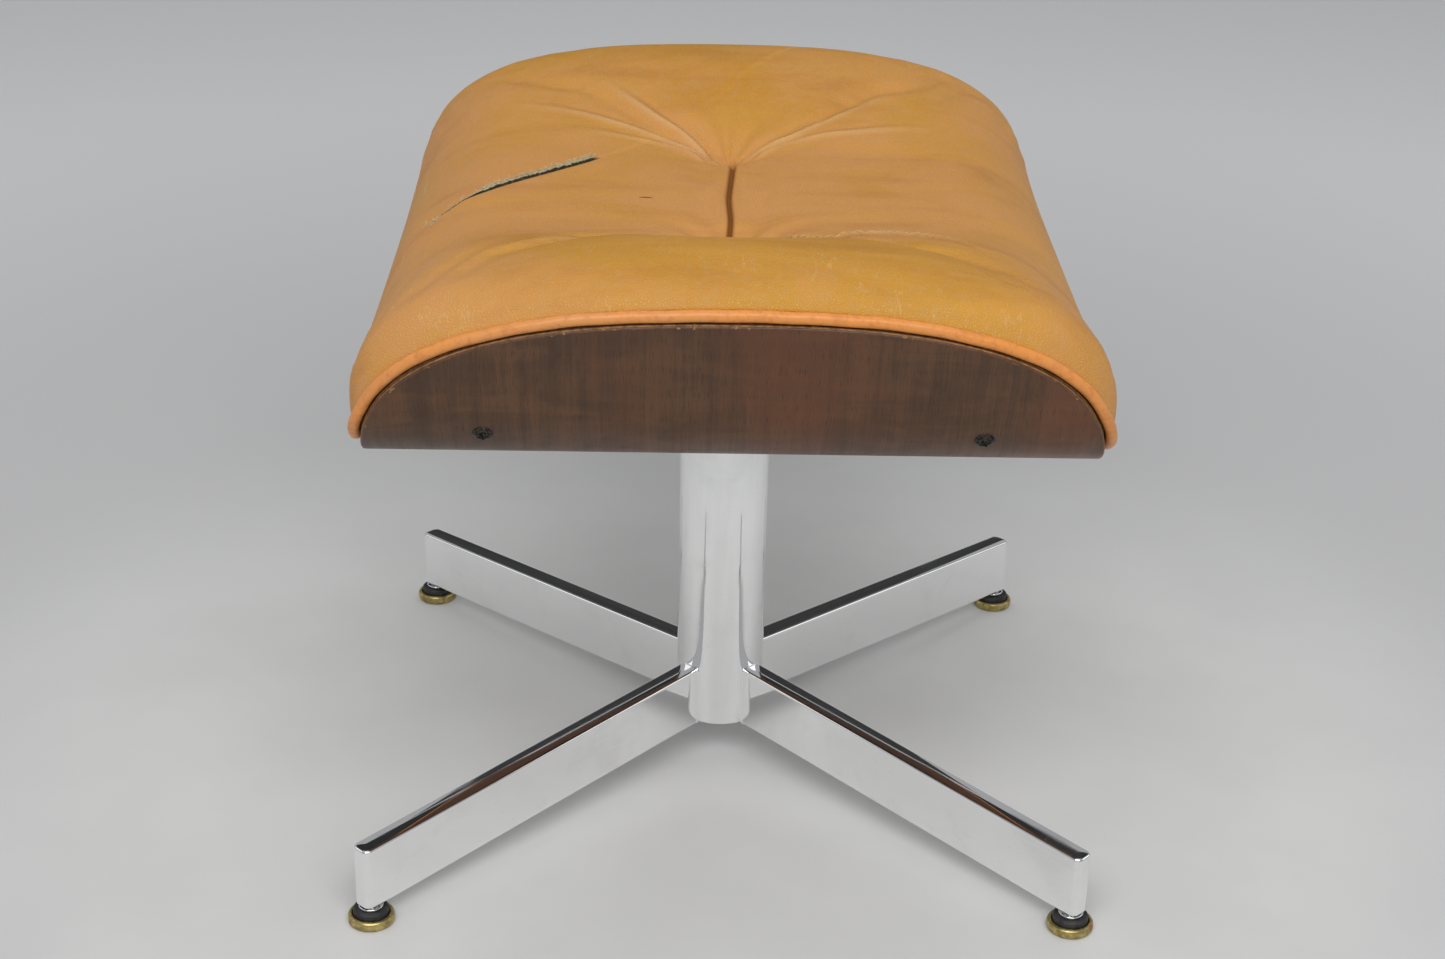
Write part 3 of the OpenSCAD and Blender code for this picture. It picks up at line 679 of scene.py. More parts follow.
class Blank:
    """A grid on the unit square, with each point's direction and share of the way to the outline."""

    def __init__(self, a_lines, b_lines):
        a, b = np.meshgrid(a_lines, b_lines)
        index = np.arange(a.size).reshape(a.shape)
        a, b = a.ravel(), b.ravel()
        self.out = np.maximum(np.abs(a), np.abs(b))
        self.to_side = np.abs(a) >= np.abs(b)
        ratio = np.where(self.to_side, b, a) / np.maximum(self.out, 1e-9)
        self.t = np.where(self.to_side, np.interp(ratio, SIDE_RATIO, SIDE_T),
                          np.interp(ratio, END_RATIO, END_T))
        self.flip_x = np.where(self.to_side & (a < 0), -1.0, 1.0)
        self.flip_s = np.where(~self.to_side & (b < 0), -1.0, 1.0)
        self.border = np.concatenate([index[0, :-1], index[:-1, -1], index[-1, :0:-1], index[:0:-1, 0]])
        low_left, low_right = index[:-1, :-1].ravel(), index[:-1, 1:].ravel()
        high_left, high_right = index[1:, :-1].ravel(), index[1:, 1:].ravel()
        self.faces = np.column_stack([low_left, low_right, high_right, high_left])

    def edge(self, g):
        x, s = rim(self.t, g)
        return x * self.flip_x, s * self.flip_s

    def loop(self, g):
        x, s = self.edge(g)
        return x[self.border], s[self.border]


# ---------------------------------------------------------------- shell
def build_shell():
    grid = Blank(square_lines(112, lambda v: 1 + 4.0 * (np.abs(v) > 0.955)),
                 square_lines(170, lambda v: 1 + 4.0 * (np.abs(v) > 0.97)))
    lip = 1.1
    edge_x, edge_s = grid.edge(-lip)
    x, s = grid.out * edge_x, grid.out * edge_s
    turns = np.radians([18, 36, 54, 72, 90])
    corner = [(-lip * (1 - math.sin(a)), lip * (1 - math.cos(a))) for a in turns]
    sides = [(0.0, n) for n in np.linspace(lip, PLY - lip, 7)[1:-1]]
    steps = corner + sides + [(g, PLY - n) for g, n in reversed(corner)]
    inner, outer = wrap(x, s, PLY), wrap(x, s, 0.0)
    parts, plan, depth = [inner], [np.column_stack([x, s])], [np.full(len(x), 1.0)]
    faces = grid.faces.tolist()
    total = len(x)
    count = len(grid.border)
    starts = []
    for g, n in reversed(steps):
        lx, ls = grid.loop(g)
        parts.append(wrap(lx, ls, n))
        plan.append(np.column_stack([lx, ls]))
        depth.append(np.full(count, n / PLY))
        starts.append(total)
        total += count
    parts.append(outer)
    plan.append(np.column_stack([x, s]))
    depth.append(np.zeros(len(x)))
    faces += (grid.faces[:, ::-1] + total).tolist()
    loops = [grid.border, *[start + np.arange(count) for start in starts], total + grid.border]
    for upper, lower in zip(loops, loops[1:]):
        faces += joined(upper, lower)
    points, plan, depth = np.concatenate(parts), np.concatenate(plan), np.concatenate(depth)
    shell = piece_from("shell_ply", points, faces, walnut, "seat", ["shell"], True)
    mesh = shell.data
    from_edge = np.hypot(edge_x - x, edge_s - s)
    near = np.exp(-from_edge / 2.2)
    ones = np.ones(count * len(steps))
    write_attribute(mesh, "near_edge", np.concatenate([near, ones, near]))
    write_attribute(mesh, "on_edge", np.concatenate([np.zeros(len(x)), ones, np.zeros(len(x))]))
    write_attribute(mesh, "depth", depth)
    write_uv(mesh, "blank", plan * MM)


def write_attribute(mesh, name, values):
    layer = mesh.attributes.new(name, "FLOAT", "POINT")
    layer.data.foreach_set("value", np.ascontiguousarray(values, np.float32))


def write_uv(mesh, name, plan):
    layer = mesh.uv_layers.new(name=name)
    corners = np.zeros(len(mesh.loops), np.int32)
    mesh.loops.foreach_get("vertex_index", corners)
    layer.data.foreach_set("uv", np.ascontiguousarray(plan[corners], np.float32).ravel())


build_shell()


# ---------------------------------------------------------------- pad
def piping_height(s):
    return 4.5 + 4.0 * smooth((HALF_L - np.abs(s)) / ARCH_L)


def piping_line(x, s):
    return wrap(x, s, piping_height(s))


def top_line(s):
    return s - np.sign(s) * (HALF_L - CROWN_SPAN / 2) * (np.abs(s) / HALF_L) ** 2.5


def top_height(x, y):
    crown = CROWN_Z - CROWN_FALL * (np.abs(x) / HALF_W) ** 3.6
    return MID_Z + (crown - MID_Z) * smooth((np.abs(y) - 60) / (CROWN_SPAN / 2 - 70))


def dimple(x, y):
    return TUFT_DEPTH * np.exp(-(x * x + (np.abs(y) - TUFT_Y) ** 2) / (2 * TUFT_SPREAD ** 2))


def puff(q):
    return (1 - np.clip(q, 0, 1) ** 11) ** (1 / 2.3)


def shares_by_length():
    """Share of the way to the rim, spaced evenly along the pad's profile."""
    q = 1 - np.linspace(1, 0, 4001) ** 2.4
    run = np.concatenate([[0], np.cumsum(np.hypot(np.diff(q) * HALF_W, np.diff(puff(q)) * 66))])
    return run / run[-1], q


SHARE_RUN, SHARE_Q = shares_by_length()


def pad_surface(grid, sink=0.0):
    """Pad's outer face over a grid: its points, their place on the blank and how far up they lie."""
    q = np.interp(grid.out, SHARE_RUN, SHARE_Q)
    f = puff(q)[:, None]
    px, ps = grid.edge(-1.3)
    ox, os_ = grid.edge(PIPING_OUT)
    core_x, core_s = grid.edge(0.0)
    centre = piping_line(ox, os_)
    outward = centre - piping_line(core_x, core_s)
    level = outward.copy()
    level[:, 2] = 0
    level /= np.linalg.norm(level, axis=1)[:, None]
    seam = centre - level * 0.45 * PIPING_R + np.array([0, 0, 0.8 * PIPING_R])
    x, s = q * px, q * ps
    y = top_line(s)
    top = np.stack([x, y, top_height(x, y) - dimple(x, y) - sink], -1)
    rise = np.clip((top[:, 2:] - seam[:, 2:]) / 70, 0.25, 1)
    swell = SIDE_BULGE * np.sin(math.pi * f) + 2.6 * rise * np.sin(math.pi * f ** 0.5) * (1 - f)
    points = seam + f * (top - seam) + (swell - sink * np.sin(math.pi * f)) * level
    return points, np.stack([x, s], -1), f[:, 0]


# Skirt under the pad's edge: how far outside the blank's outline, and how far inwards from the shell's face
PAD_SKIRT = [(0.6, 14.4), (0.0, 13.6), (-0.8, 13.6), (-0.9, 16.5), (-0.9, 19.2), (-1.6, PAD_LOW + 0.2)]


def closed_pad(grid, sink=0.0):
    """Pad's outer face closed by a skirt round the board and a face that lies on the board."""
    points, plan, lift = pad_surface(grid, sink)
    parts, flat = [points], [plan]
    faces = grid.faces.tolist()
    total = len(points)
    count = len(grid.border)
    for g, n in PAD_SKIRT:
        lx, ls = grid.loop(g)
        parts.append(wrap(lx, ls, n))
        flat.append(np.column_stack([lx, ls]))
    for share in (0.97, 0.9, 0.8, 0.7, 0.6, 0.5, 0.4, 0.3, 0.2, 0.1, 0.04):
        lx, ls = grid.loop(-1.6)
        parts.append(wrap(share * lx, share * ls, PAD_LOW + 0.2))
        flat.append(np.column_stack([share * lx, share * ls]))
    loops = [grid.border, *[total + k * count + np.arange(count) for k in range(len(parts) - 1)]]
    for outer, inner in zip(loops, loops[1:]):
        faces += joined(outer, inner)
    last = loops[-1]
    pole = int(last[-1]) + 1
    faces += np.column_stack([last, np.full(count, pole), np.roll(last, -1)]).tolist()
    parts.append(wrap([0.0], [0.0], PAD_LOW + 0.2))
    flat.append(np.zeros((1, 2)))
    held = np.concatenate([lift, np.zeros(pole + 1 - total)])
    return np.concatenate(parts), faces, np.concatenate(flat), held


def bare_object(name, points, faces):
    return new_object(name, new_mesh(name, np.asarray(points, float) * MM, faces))


def vectors_of(mesh, field="co"):
    flat = np.empty(len(mesh.vertices) * 3, np.float32)
    mesh.vertices.foreach_get(field, flat)
    return flat.reshape(-1, 3).astype(float)


CLOTH_CELL = 0.0055
CLOTH_FRAMES = 20
CLOTH_LIMIT = 5.0
TUFT_HELD = 9
TUFT_EASED = 16
WING_START = 215
WING_HELD_Z = 411.5
SIDE_HELD_Z = SHELL_Z + 22
FOLD_LOW_Z = 350


def blow_up(points, faces):
    """Cloth under light pressure, held at board, piping and tufts: its points and their moves."""
    rough = bare_object("pad_blow_up", points, faces)
    set_all(rough.modifiers.new("remesh", "REMESH"), mode="VOXEL", voxel_size=CLOTH_CELL)
    graph = bpy.context.evaluated_depsgraph_get()
    mesh = bpy.data.meshes.new_from_object(rough.evaluated_get(graph))
    rough.modifiers.clear()
    rough.data = mesh
    start = vectors_of(mesh)
    reach = start / MM
    radial = np.hypot(reach[:, 0], np.abs(reach[:, 1]) - TUFT_Y)
    on_fold = (np.abs(reach[:, 0]) < 4) & (np.abs(reach[:, 1]) < TUFT_Y) & (reach[:, 2] > FOLD_LOW_Z)
    near_rim = reach[:, 2] < np.where(np.abs(reach[:, 1]) > WING_START, WING_HELD_Z, SIDE_HELD_Z)
    held = near_rim | (radial < TUFT_HELD) | on_fold
    group = rough.vertex_groups.new(name="held")
    group.add(np.flatnonzero(held).tolist(), 1.0, "REPLACE")
    soft = np.flatnonzero((radial >= TUFT_HELD) & (radial < TUFT_EASED) & ~held)
    group.add(soft.tolist(), 0.5, "REPLACE")
    cloth = rough.modifiers.new("cloth", "CLOTH")
    set_all(cloth.settings, quality=5, mass=0.4, tension_stiffness=12, compression_stiffness=12,
            shear_stiffness=5, bending_stiffness=0.6, use_pressure=True, uniform_pressure_force=4,
            vertex_group_mass="held")
    cloth.settings.effector_weights.gravity = 0
    cloth.collision_settings.use_self_collision = False
    set_all(cloth.point_cache, frame_start=1, frame_end=CLOTH_FRAMES)
    for step in range(1, CLOTH_FRAMES + 1):
        bpy.context.scene.frame_set(step)
    graph = bpy.context.evaluated_depsgraph_get()
    moved = vectors_of(rough.evaluated_get(graph).data)
    bpy.data.objects.remove(rough)
    bpy.context.scene.frame_set(1)
    return start / MM, (moved - start) / MM


def carry_over(points, start, moves, cap):
    """Moves of the blown-up cloth, capped and read off at each point of the finished pad."""
    size = np.linalg.norm(moves, axis=1)[:, None] + 1e-9
    moves = moves / size * cap * np.tanh(size / cap)
    tree = KDTree(len(start))
    for k, p in enumerate(start):
        tree.insert(p, k)
    tree.balance()
    out = np.zeros_like(points)
    for k, p in enumerate(points):
        total = 0.0
        move = np.zeros(3)
        for _, index, distance in tree.find_n(p, 6):
            weight = 1 / (distance + 1.5) ** 2
            move += moves[index] * weight
            total += weight
        out[k] = move / total
    return out


def line_through(knots, count=60):
    """Smooth open curve through plan points."""
    knots = np.asarray(knots, float)
    run = np.concatenate([[0], np.cumsum(np.linalg.norm(np.diff(knots, axis=0), axis=1))])
    at = np.linspace(0, run[-1], count)
    bent = [np.interp(at, run, knots[:, k]) for k in (0, 1)]
    for _ in range(6):
        for curve in bent:
            curve[1:-1] = (curve[:-2] + 2 * curve[1:-1] + curve[2:]) / 4
    return np.stack(bent, -1)


def distance_to(plan, knots):
    """Signed distance from a curve, positive to its left, and the share of the way along it."""
    curve = line_through(knots)
    best = np.full(len(plan), 1e9)
    signed = np.full(len(plan), 1e9)
    share = np.zeros(len(plan))
    for k in range(len(curve) - 1):
        step = curve[k + 1] - curve[k]
        length = np.linalg.norm(step)
        to = plan - curve[k]
        f = np.clip(to @ step / length ** 2, 0, 1)
        gap = to - f[:, None] * step
        d = np.linalg.norm(gap, axis=1)
        side = np.sign(step[0] * to[:, 1] - step[1] * to[:, 0])
        closer = d < best
        best = np.where(closer, d, best)
        signed = np.where(closer, d * np.where(side == 0, 1, side), signed)
        share = np.where(closer, (k + f) / (len(curve) - 1), share)
    return signed, share


# Creases: plan points from a tuft outwards, ridge height, width, and the side that the ridge lies on
CREASES = [
    ([(-3, 88), (-22, 102), (-46, 124), (-66, 146), (-84, 168)], 1.9, 3.2, 1),
    ([(-6, 86), (-48, 101), (-88, 122), (-118, 134), (-150, 146)], 1.7, 3.6, 1),
    ([(-8, 82), (-41, 88), (-87, 104), (-112, 109)], 1.2, 3.2, 1),
    ([(4, 90), (36, 104), (63, 122), (97, 150), (116, 168)], 1.8, 3.4, -1),
    ([(8, 84), (63, 104), (112, 114), (150, 116)], 1.3, 3.4, -1),
    ([(14, -98), (40, -108), (55, -115), (78, -107), (95, -107), (112, -111), (127, -128), (146, -169)],
     3.4, 2.2, 1),
    ([(8, -86), (29, -104), (39, -86)], 0.8, 2.6, -1),
    ([(-12, -94), (-32, -114), (-50, -98)], 0.9, 2.8, 1),
    ([(-10, -96), (-60, -120), (-120, -150), (-160, -180)], 1.0, 4.5, 1),
]
FOLD = [(3, 96), (2.5, 60), (0.5, 25), (-1.5, -10), (-0.5, -50), (-2, -78), (-3, -96)]


def crease_fields(plan):
    """How far the leather stands off at each plan point, where a painted highlight goes on crease ridges, and
    where painted shade goes in the fold channel and crease valleys.
    """
    offset = np.zeros(len(plan))
    crest = np.zeros(len(plan))
    line = np.zeros(len(plan))
    for knots, height, width, side in CREASES:
        signed, share = distance_to(plan, knots)
        grow = smooth(share / 0.12) * smooth((1 - share) / 0.55) * (1 - 0.3 * share)
        wide = width * (1 + 0.9 * share)
        valley = np.exp(-(signed / (wide * 0.5)) ** 2)
        ridge = np.exp(-((signed * side - 0.9 * wide) / (wide * 0.62)) ** 2)
        offset += height * grow * (0.95 * ridge - 1.0 * valley)
        # Ridge mask that places a painted highlight on each crease.
        crest = np.maximum(crest, grow * ridge * min(1, height / 1.8))
        # Dark line along each crease valley, for painted shade.
        valley_shade = np.exp(-((signed * side - 0.15 * wide) / (0.38 * wide)) ** 2)
        line = np.maximum(line, 0.22 * height * grow * valley_shade)
    for centre in (TUFT_Y, -TUFT_Y):
        away = np.hypot(plan[:, 0], plan[:, 1] - centre)
        turn = np.arctan2(plan[:, 1] - centre, plan[:, 0])
        pucker = np.cos(9 * turn + 0.7 * np.sign(centre)) + 0.5 * np.cos(5 * turn + 1.9)
        offset += 0.75 * pucker * np.exp(-((away - 24) / 22) ** 2) * smooth(away / 14)
    signed, share = distance_to(plan, FOLD)
    ends = smooth(share / 0.06) * smooth((1 - share) / 0.06)
    channel = np.exp(-(np.abs(signed) / (1.5 + 0.5 * (1 - share))) ** 2.4) * ends
    lips = np.exp(-((np.abs(signed) - 6.5) / 4.5) ** 2) * ends
    offset += 0.9 * lips - 3.4 * channel
    return offset, crest, np.maximum(channel, line)


def tear_frame(plan):
    """Distances along the tear and off it, in metres."""
    to = plan * MM - np.array(TEAR_MID)
    along, off = spun(to[:, 0], to[:, 1], -TEAR_TURN)
    return along, off - 0.5 * along ** 2


def point_normals(points, faces):
    mesh = new_mesh("normals", points, faces)
    normals = vectors_of(mesh, "normal")
    bpy.data.meshes.remove(mesh)
    return normals


def build_pad():
    def dense_across(v):
        return 1 + 2.2 * np.exp(-(v / 0.022) ** 2) + 0.35 * np.exp(-((v + 0.52) / 0.2) ** 2)

    def dense_along(v):
        return 1 + 0.5 * np.exp(-(v / 0.25) ** 2)

    grid = Blank(square_lines(284, dense_across), square_lines(330, dense_along))
    points, faces, plan, lift = closed_pad(grid)
    count = len(grid.out)
    plan[:count] = points[:count, :2]
    plan[count:] *= 3
    normals = point_normals(points, faces)
    coarse = Blank(square_lines(90, np.ones_like), square_lines(120, np.ones_like))
    rough_points, rough_faces, _, _ = closed_pad(coarse, 1.5)
    start, moves = blow_up(rough_points, rough_faces)
    top = np.flatnonzero(lift > 0)
    swell = np.zeros_like(points)
    swell[top] = carry_over(points[top], start, moves, CLOTH_LIMIT)
    outward = np.sum(swell * normals, axis=1)
    free = lift > 0.3
    ease = smooth(lift / 0.25)
    points = points + ((outward - outward[free].mean()) * ease)[:, None] * normals
    offset, crest, channel = crease_fields(plan)
    on_top = smooth((lift - 0.75) / 0.2)
    along, off = tear_frame(plan)
    inside = smooth((TEAR_HALF - np.abs(along)) / 0.012)
    inside = inside * smooth((along + 0.046) / 0.022)
    slit = np.exp(-((off + 0.0016) / 0.0022) ** 2) * inside
    lip = np.exp(-((off - 0.0024) / 0.0018) ** 2) * inside
    offset = offset + 0.6 * lip - 1.1 * slit
    points = points + (offset * on_top)[:, None] * normals
    pad = piece_from("pad_leather", points, faces, leather, "seat", ["cushion_cover"])
    # The crest attribute places a painted highlight on crease ridges.
    write_attribute(pad.data, "crest", crest * on_top)
    # This attribute paints shade in the fold channel and along crease valleys.
    write_attribute(pad.data, "fold_and_crease_shade", np.clip(channel * 1.25, 0, 1) * on_top)
    write_uv(pad.data, "plan", plan * MM)
    return pad


worn_pad = build_pad()


def build_foam(inset):
    """Smooth closed form inside the leather, lying on the board."""
    grid = Blank(square_lines(80, np.ones_like), square_lines(110, np.ones_like))
    q = np.interp(grid.out, SHARE_RUN, SHARE_Q)
    f = puff(q)[:, None]
    px, ps = grid.edge(-BOARD_INSET - inset)
    x, s = q * px, q * ps
    y = top_line(s)
    low = wrap(px, ps, PAD_LOW + 0.4)
    groove = 9.0 * np.exp(-(x / 9.0) ** 4) * smooth((TUFT_Y + 22 - np.abs(y)) / 14)
    top = np.stack([x, y, top_height(x, y) - 1.25 * dimple(x, y) - 2.4 * inset - groove], -1)
    points = low + f * (top - low)
    points[:, 0] *= 1 + (SIDE_BULGE - inset) / HALF_W * np.sin(math.pi * f[:, 0])
    under = wrap(x * 0.999, s * 0.999, PAD_LOW + 0.35)
    total = len(points)
    faces = grid.faces.tolist() + (grid.faces[:, ::-1] + total).tolist()
    faces += joined(grid.border, total + grid.border)
    points = np.concatenate([points, under])
    piece = piece_from("pad_foam", points, faces, foam, "seat", ["cushion_foam"])


build_foam(inset=2.2)


# ---------------------------------------------------------------- sweeps along curves
def geometry_tree(name, inputs):
    tree = bpy.data.node_groups.new(name, "GeometryNodeTree")
    tree.interface.new_socket("Geometry", in_out="INPUT", socket_type="NodeSocketGeometry")
    for label, kind, value in [*inputs, ("Finish", "Material", None)]:
        socket = tree.interface.new_socket(label, in_out="INPUT", socket_type="NodeSocket" + kind)
        if value is not None:
            socket.default_value = value
    tree.interface.new_socket("Geometry", in_out="OUTPUT", socket_type="NodeSocketGeometry")
    return tree, tree.nodes.new("NodeGroupInput").outputs, tree.nodes.new("NodeGroupOutput").inputs


def finished_tree(tree, shape, given, out):
    """Real geometry, shaded smooth, in the tree's finish."""
    real = add(tree, "GeometryNodeRealizeInstances", None, Geometry=shape)
    shaded = add(tree, "GeometryNodeSetShadeSmooth", None, Geometry=real.outputs[0])
    dressed = add(tree, "GeometryNodeSetMaterial", None, Geometry=shaded.outputs[0],
                  Material=given["Finish"])
    join(tree, dressed.outputs[0], out["Geometry"])
    return tree


def grown(host, tree, values):
    """Mesh that a geometry tree makes on a host object; the host is removed."""
    modifier = host.modifiers.new("grow", "NODES")
    modifier.node_group = tree
    for item in tree.interface.items_tree:
        if item.in_out == "INPUT" and item.name in values:
            modifier[item.identifier] = values[item.name]
    graph = bpy.context.evaluated_depsgraph_get()
    mesh = bpy.data.meshes.new_from_object(host.evaluated_get(graph))
    bpy.data.objects.remove(host)
    return mesh


def build_sweep_tree():
    """Round section swept along every spline of the host."""
    tree, given, out = geometry_tree("round_sweep", [("Radius", "Float", 0.003), ("Sides", "Int", 16)])
    section = add(tree, "GeometryNodeCurvePrimitiveCircle", None, Resolution=given["Sides"],
                  Radius=given["Radius"])
    swept = add(tree, "GeometryNodeCurveToMesh", None, Curve=given["Geometry"],
                Profile_Curve=section.outputs["Curve"], Fill_Caps=True)
    return finished_tree(tree, swept.outputs[0], given, out)


sweep_tree = build_sweep_tree()


def build_thread_tree():
    """Short bent threads standing at random along every spline of the host."""
    tree, given, out = geometry_tree("frayed_threads", [
        ("Threads", "Int", 60), ("Length", "Float", 0.003), ("Seed", "Int", 5)])
    places = add(tree, "GeometryNodeCurveToPoints", {"mode": "COUNT"}, Curve=given["Geometry"],
                 Count=given["Threads"])
    bend = add(tree, "GeometryNodeCurveQuadraticBezier", None, Resolution=5, Start=(0, 0, -0.2),
               Middle=(0.25, 0.1, 0.5), End=(0.9, 0.0, 0.55))
    section = add(tree, "GeometryNodeCurvePrimitiveCircle", None, Resolution=5, Radius=0.045)
    thread = add(tree, "GeometryNodeCurveToMesh", None, Curve=bend.outputs[0],
                 Profile_Curve=section.outputs["Curve"], Fill_Caps=True)
    lean = add(tree, "FunctionNodeRandomValue", {"data_type": "FLOAT_VECTOR"}, Seed=given["Seed"],
               i0=(-0.5, -0.3, 0.0), i1=(0.5, 0.5, 6.28))
    size = add(tree, "FunctionNodeRandomValue", {"data_type": "FLOAT"}, i2=0.45, i3=1.0,
               Seed=maths(tree, "ADD", given["Seed"], 11.0))
    placed = add(tree, "GeometryNodeInstanceOnPoints", None, Points=places.outputs[0],
                 Instance=thread.outputs[0], Rotation=lean.outputs[0],
                 Scale=times(tree, size.outputs[1], given["Length"]))
    return finished_tree(tree, placed.outputs[0], given, out)


def curve_host(name, splines, closed):
    data = set_all(bpy.data.curves.new(name, "CURVE"), dimensions="3D", twist_mode="MINIMUM")
    for points in splines:
        spline = data.splines.new("POLY")
        spline.points.add(len(points) - 1)
        rows = np.column_stack([np.asarray(points) * MM, np.ones(len(points))])
        spline.points.foreach_set("co", rows.ravel())
        spline.use_cyclic_u = closed
    return new_object(name, data)


def sweep(name, splines, radius, sides, material, body, stands_for, slot):
    """Round cord or bead along closed lines."""
    mesh = grown(curve_host(name + "_line", splines, True), sweep_tree,
                 {"Radius": radius * MM, "Sides": sides, "Finish": material})
    return place_piece(name, mesh, body, stands_for)


def build_fray(pad):
    """Loose threads of the leather's backing along the tear, and a tuft of them at its left end."""
    top = vectors_of(pad.data)
    top = top[top[:, 2] > PAD_TOP_LOW]
    runs = [(-0.030, 0.064, 0.0018, 0.0020, 150), (-0.026, 0.060, 0.0010, 0.0014, 90),
            (-0.064, -0.030, 0.0006, 0.0006, 26), (-0.071, -0.064, 0.0010, -0.0006, 16),
            (-0.069, -0.066, 0.0040, -0.0040, 14)]
    for number, (first, last, low, high, threads) in enumerate(runs):
        line = []
        for share in np.linspace(0, 1, 30):
            along = first + share * (last - first)
            off = low + share * (high - low) + 0.5 * along ** 2
            to_x, to_y = spun(along, off, TEAR_TURN)
            x, y = TEAR_MID[0] + to_x, TEAR_MID[1] + to_y
            nearest = np.argmin(np.hypot(top[:, 0] - x, top[:, 1] - y))
            line.append((x / MM, y / MM, top[nearest, 2] / MM + 0.1))
        mesh = grown(curve_host("tear_line", [line], False), thread_tree,
                     {"Threads": threads, "Length": 0.0032, "Seed": 5 + number, "Finish": fray})
        place_piece(f"tear_threads_{number}", mesh, "seat", ())


thread_tree = build_thread_tree()
build_fray(worn_pad)


def build_piping():
    t_side = np.interp(np.linspace(-1, 1, 241)[:-1], SIDE_RATIO, SIDE_T)
    t_end = np.interp(np.linspace(1, -1, 121)[:-1], END_RATIO, END_T)
    x1, s1 = rim(t_side, PIPING_OUT)
    x2, s2 = rim(t_end, PIPING_OUT)
    x = np.concatenate([x1, x2, -x1, -x2])
    s = np.concatenate([s1, s2, -s1, -s2])
    line = piping_line(x, s)
    k = np.arange(len(line)) / len(line) * 2 * math.pi
    line[:, 2] += 0.18 * np.sin(23 * k + 1.0) + 0.12 * np.sin(61 * k)
    piping = sweep("pad_piping", [line], PIPING_R, 20, piping_leather, "seat", ["cushion_piping"],
                   "piping_leather")


build_piping()


# ---------------------------------------------------------------- column and legs
def build_column():
    r, inner, lip = COLUMN_R, COLUMN_R - COLUMN_WALL, 1.04
    profile = fillet([(inner, COLUMN_LOW, lip), (r, COLUMN_LOW, lip), (r, COLUMN_TOP, 0.35),
                      (inner, COLUMN_TOP, 0.35)], 6)
    points, faces = lathe(profile, segments=160)
    piece_from("column_chrome", points, faces, chrome, "base", ["column_tube"], True)


build_column()


def leg_outline(inset):
    """Leg in plan, from the column outwards, as [along, across] anticlockwise."""
    start, half, tip = COLUMN_R - 1.3, LEG_W / 2 - inset, LEG_TIP - inset
    nose = max(4.5 - inset, 0.6)
    out = [(start, -half)]
    for first, middle in [(-90, nose - half), (0, half - nose)]:
        for a in np.radians(np.linspace(first, first + 90, 9)):
            out.append((tip - nose + nose * math.cos(a), middle + nose * math.sin(a)))
    return [*out, (start, half)]


def build_leg(foot, x, y):
    edge = 1.7
    turns = np.radians([0, 18, 36, 54, 72, 90])
    rows = [(edge * (1 - math.sin(a)), edge * (1 - math.cos(a))) for a in turns]
    loops = [(inset, FOOT_H + up) for inset, up in rows]
    loops += [(inset, FOOT_H + LEG_H - up) for inset, up in reversed(rows)]
    flat = LEG_W / 2 - edge
    for inset in (2.5, 3.4, 4.4, 5.4, 6.3):
        loops.append((inset, FOOT_H + LEG_H + 0.35 * (1 - ((LEG_W / 2 - inset) / flat) ** 2)))
    turn = math.atan2(y, x)
    points = []
    for inset, height in loops:
        for along, across in leg_outline(inset):
            points.append((*spun(along, across, turn), height + (LEG_TIP - along) * LEG_SLOPE))
    count = len(leg_outline(0))
    numbers = np.arange(len(points)).reshape(-1, count)
    faces = [numbers[0, ::-1].tolist()]
    for below, above in zip(numbers, numbers[1:]):
        faces += band(below, above)
    faces.append(numbers[-1].tolist())
    name = "leg_" + foot
    piece_from(name + "_chrome", points, faces, chrome, "base", [name], True)


for foot, (side_x, side_y) in FEET.items():
    build_leg(foot, side_x, side_y)


def build_welds():
    """Thin bead where each leg meets the column."""
    splines = []
    for side_x, side_y in FEET.values():
        turn = math.atan2(side_y, side_x)
        half = LEG_W / 2
        low = FOOT_H + (LEG_TIP - COLUMN_R) * LEG_SLOPE
        high = low + LEG_H
        path = [(-half, z) for z in np.linspace(low + 1.5, high - 1.5, 14)]
        path += [(w, high - 0.1) for w in np.linspace(-half + 1.2, half - 1.2, 9)]
        path += [(half, z) for z in np.linspace(high - 1.5, low + 1.5, 14)]
        path += [(w, low + 0.1) for w in np.linspace(half - 1.2, -half + 1.2, 9)]
        line = []
        for across, z in path:
            a = turn + math.asin(across / COLUMN_R)
            line.append((COLUMN_R * math.cos(a), COLUMN_R * math.sin(a), z))
        splines.append(line)
    sweep("leg_weld_beads", splines, 0.8, 8, chrome, "base", (), "chrome")


build_welds()


# ---------------------------------------------------------------- glides
def build_glide(foot, x, y):
    centre = (x * GLIDE_PITCH / 2, y * GLIDE_PITCH / 2)
    cup = fillet([(0, 0, 0), (14, 0, 2.4), (14, 6.4, 2.1), (11.3, 6.4, 0.55), (11.3, 1.6, 0.5), (0, 1.6, 0)])
    ring = fillet([(3.5, 6.5, 0.2), (6.3, 6.5, 0.2), (6.3, 3.5, 0.2), (5.2, 3.5, 0), (5.2, 2.6, 0.2),
                   (10.8, 2.6, 0.8), (10.8, 10.1, 1.5), (3.5, 10.1, 0.4)])
    collar = fillet([(3.2, 10.4, 0.1), (7.5, 10.4, 0.45), (7.5, 11.9, 0.45), (3.2, 11.9, 0.1)])
    for profile, name, material, body, node, slot in [
            (cup, "glide_cup_brass", brass, "foot_cup", "glide_cup", "aged_brass"),
            (ring, "glide_rubber_ring", rubber, "foot_ring", "glide_rubber", "rubber"),
            (collar, "glide_collar_chrome", chrome, "foot_stem", "glide_collar", "chrome")]:
        points, faces = lathe(profile, centre, 64)
        piece_from(f"{name}_{foot}", points, faces, material, f"{body}_{foot}", [f"{node}_{foot}"],
                   weighted=True)
    build_stem(foot, centre)


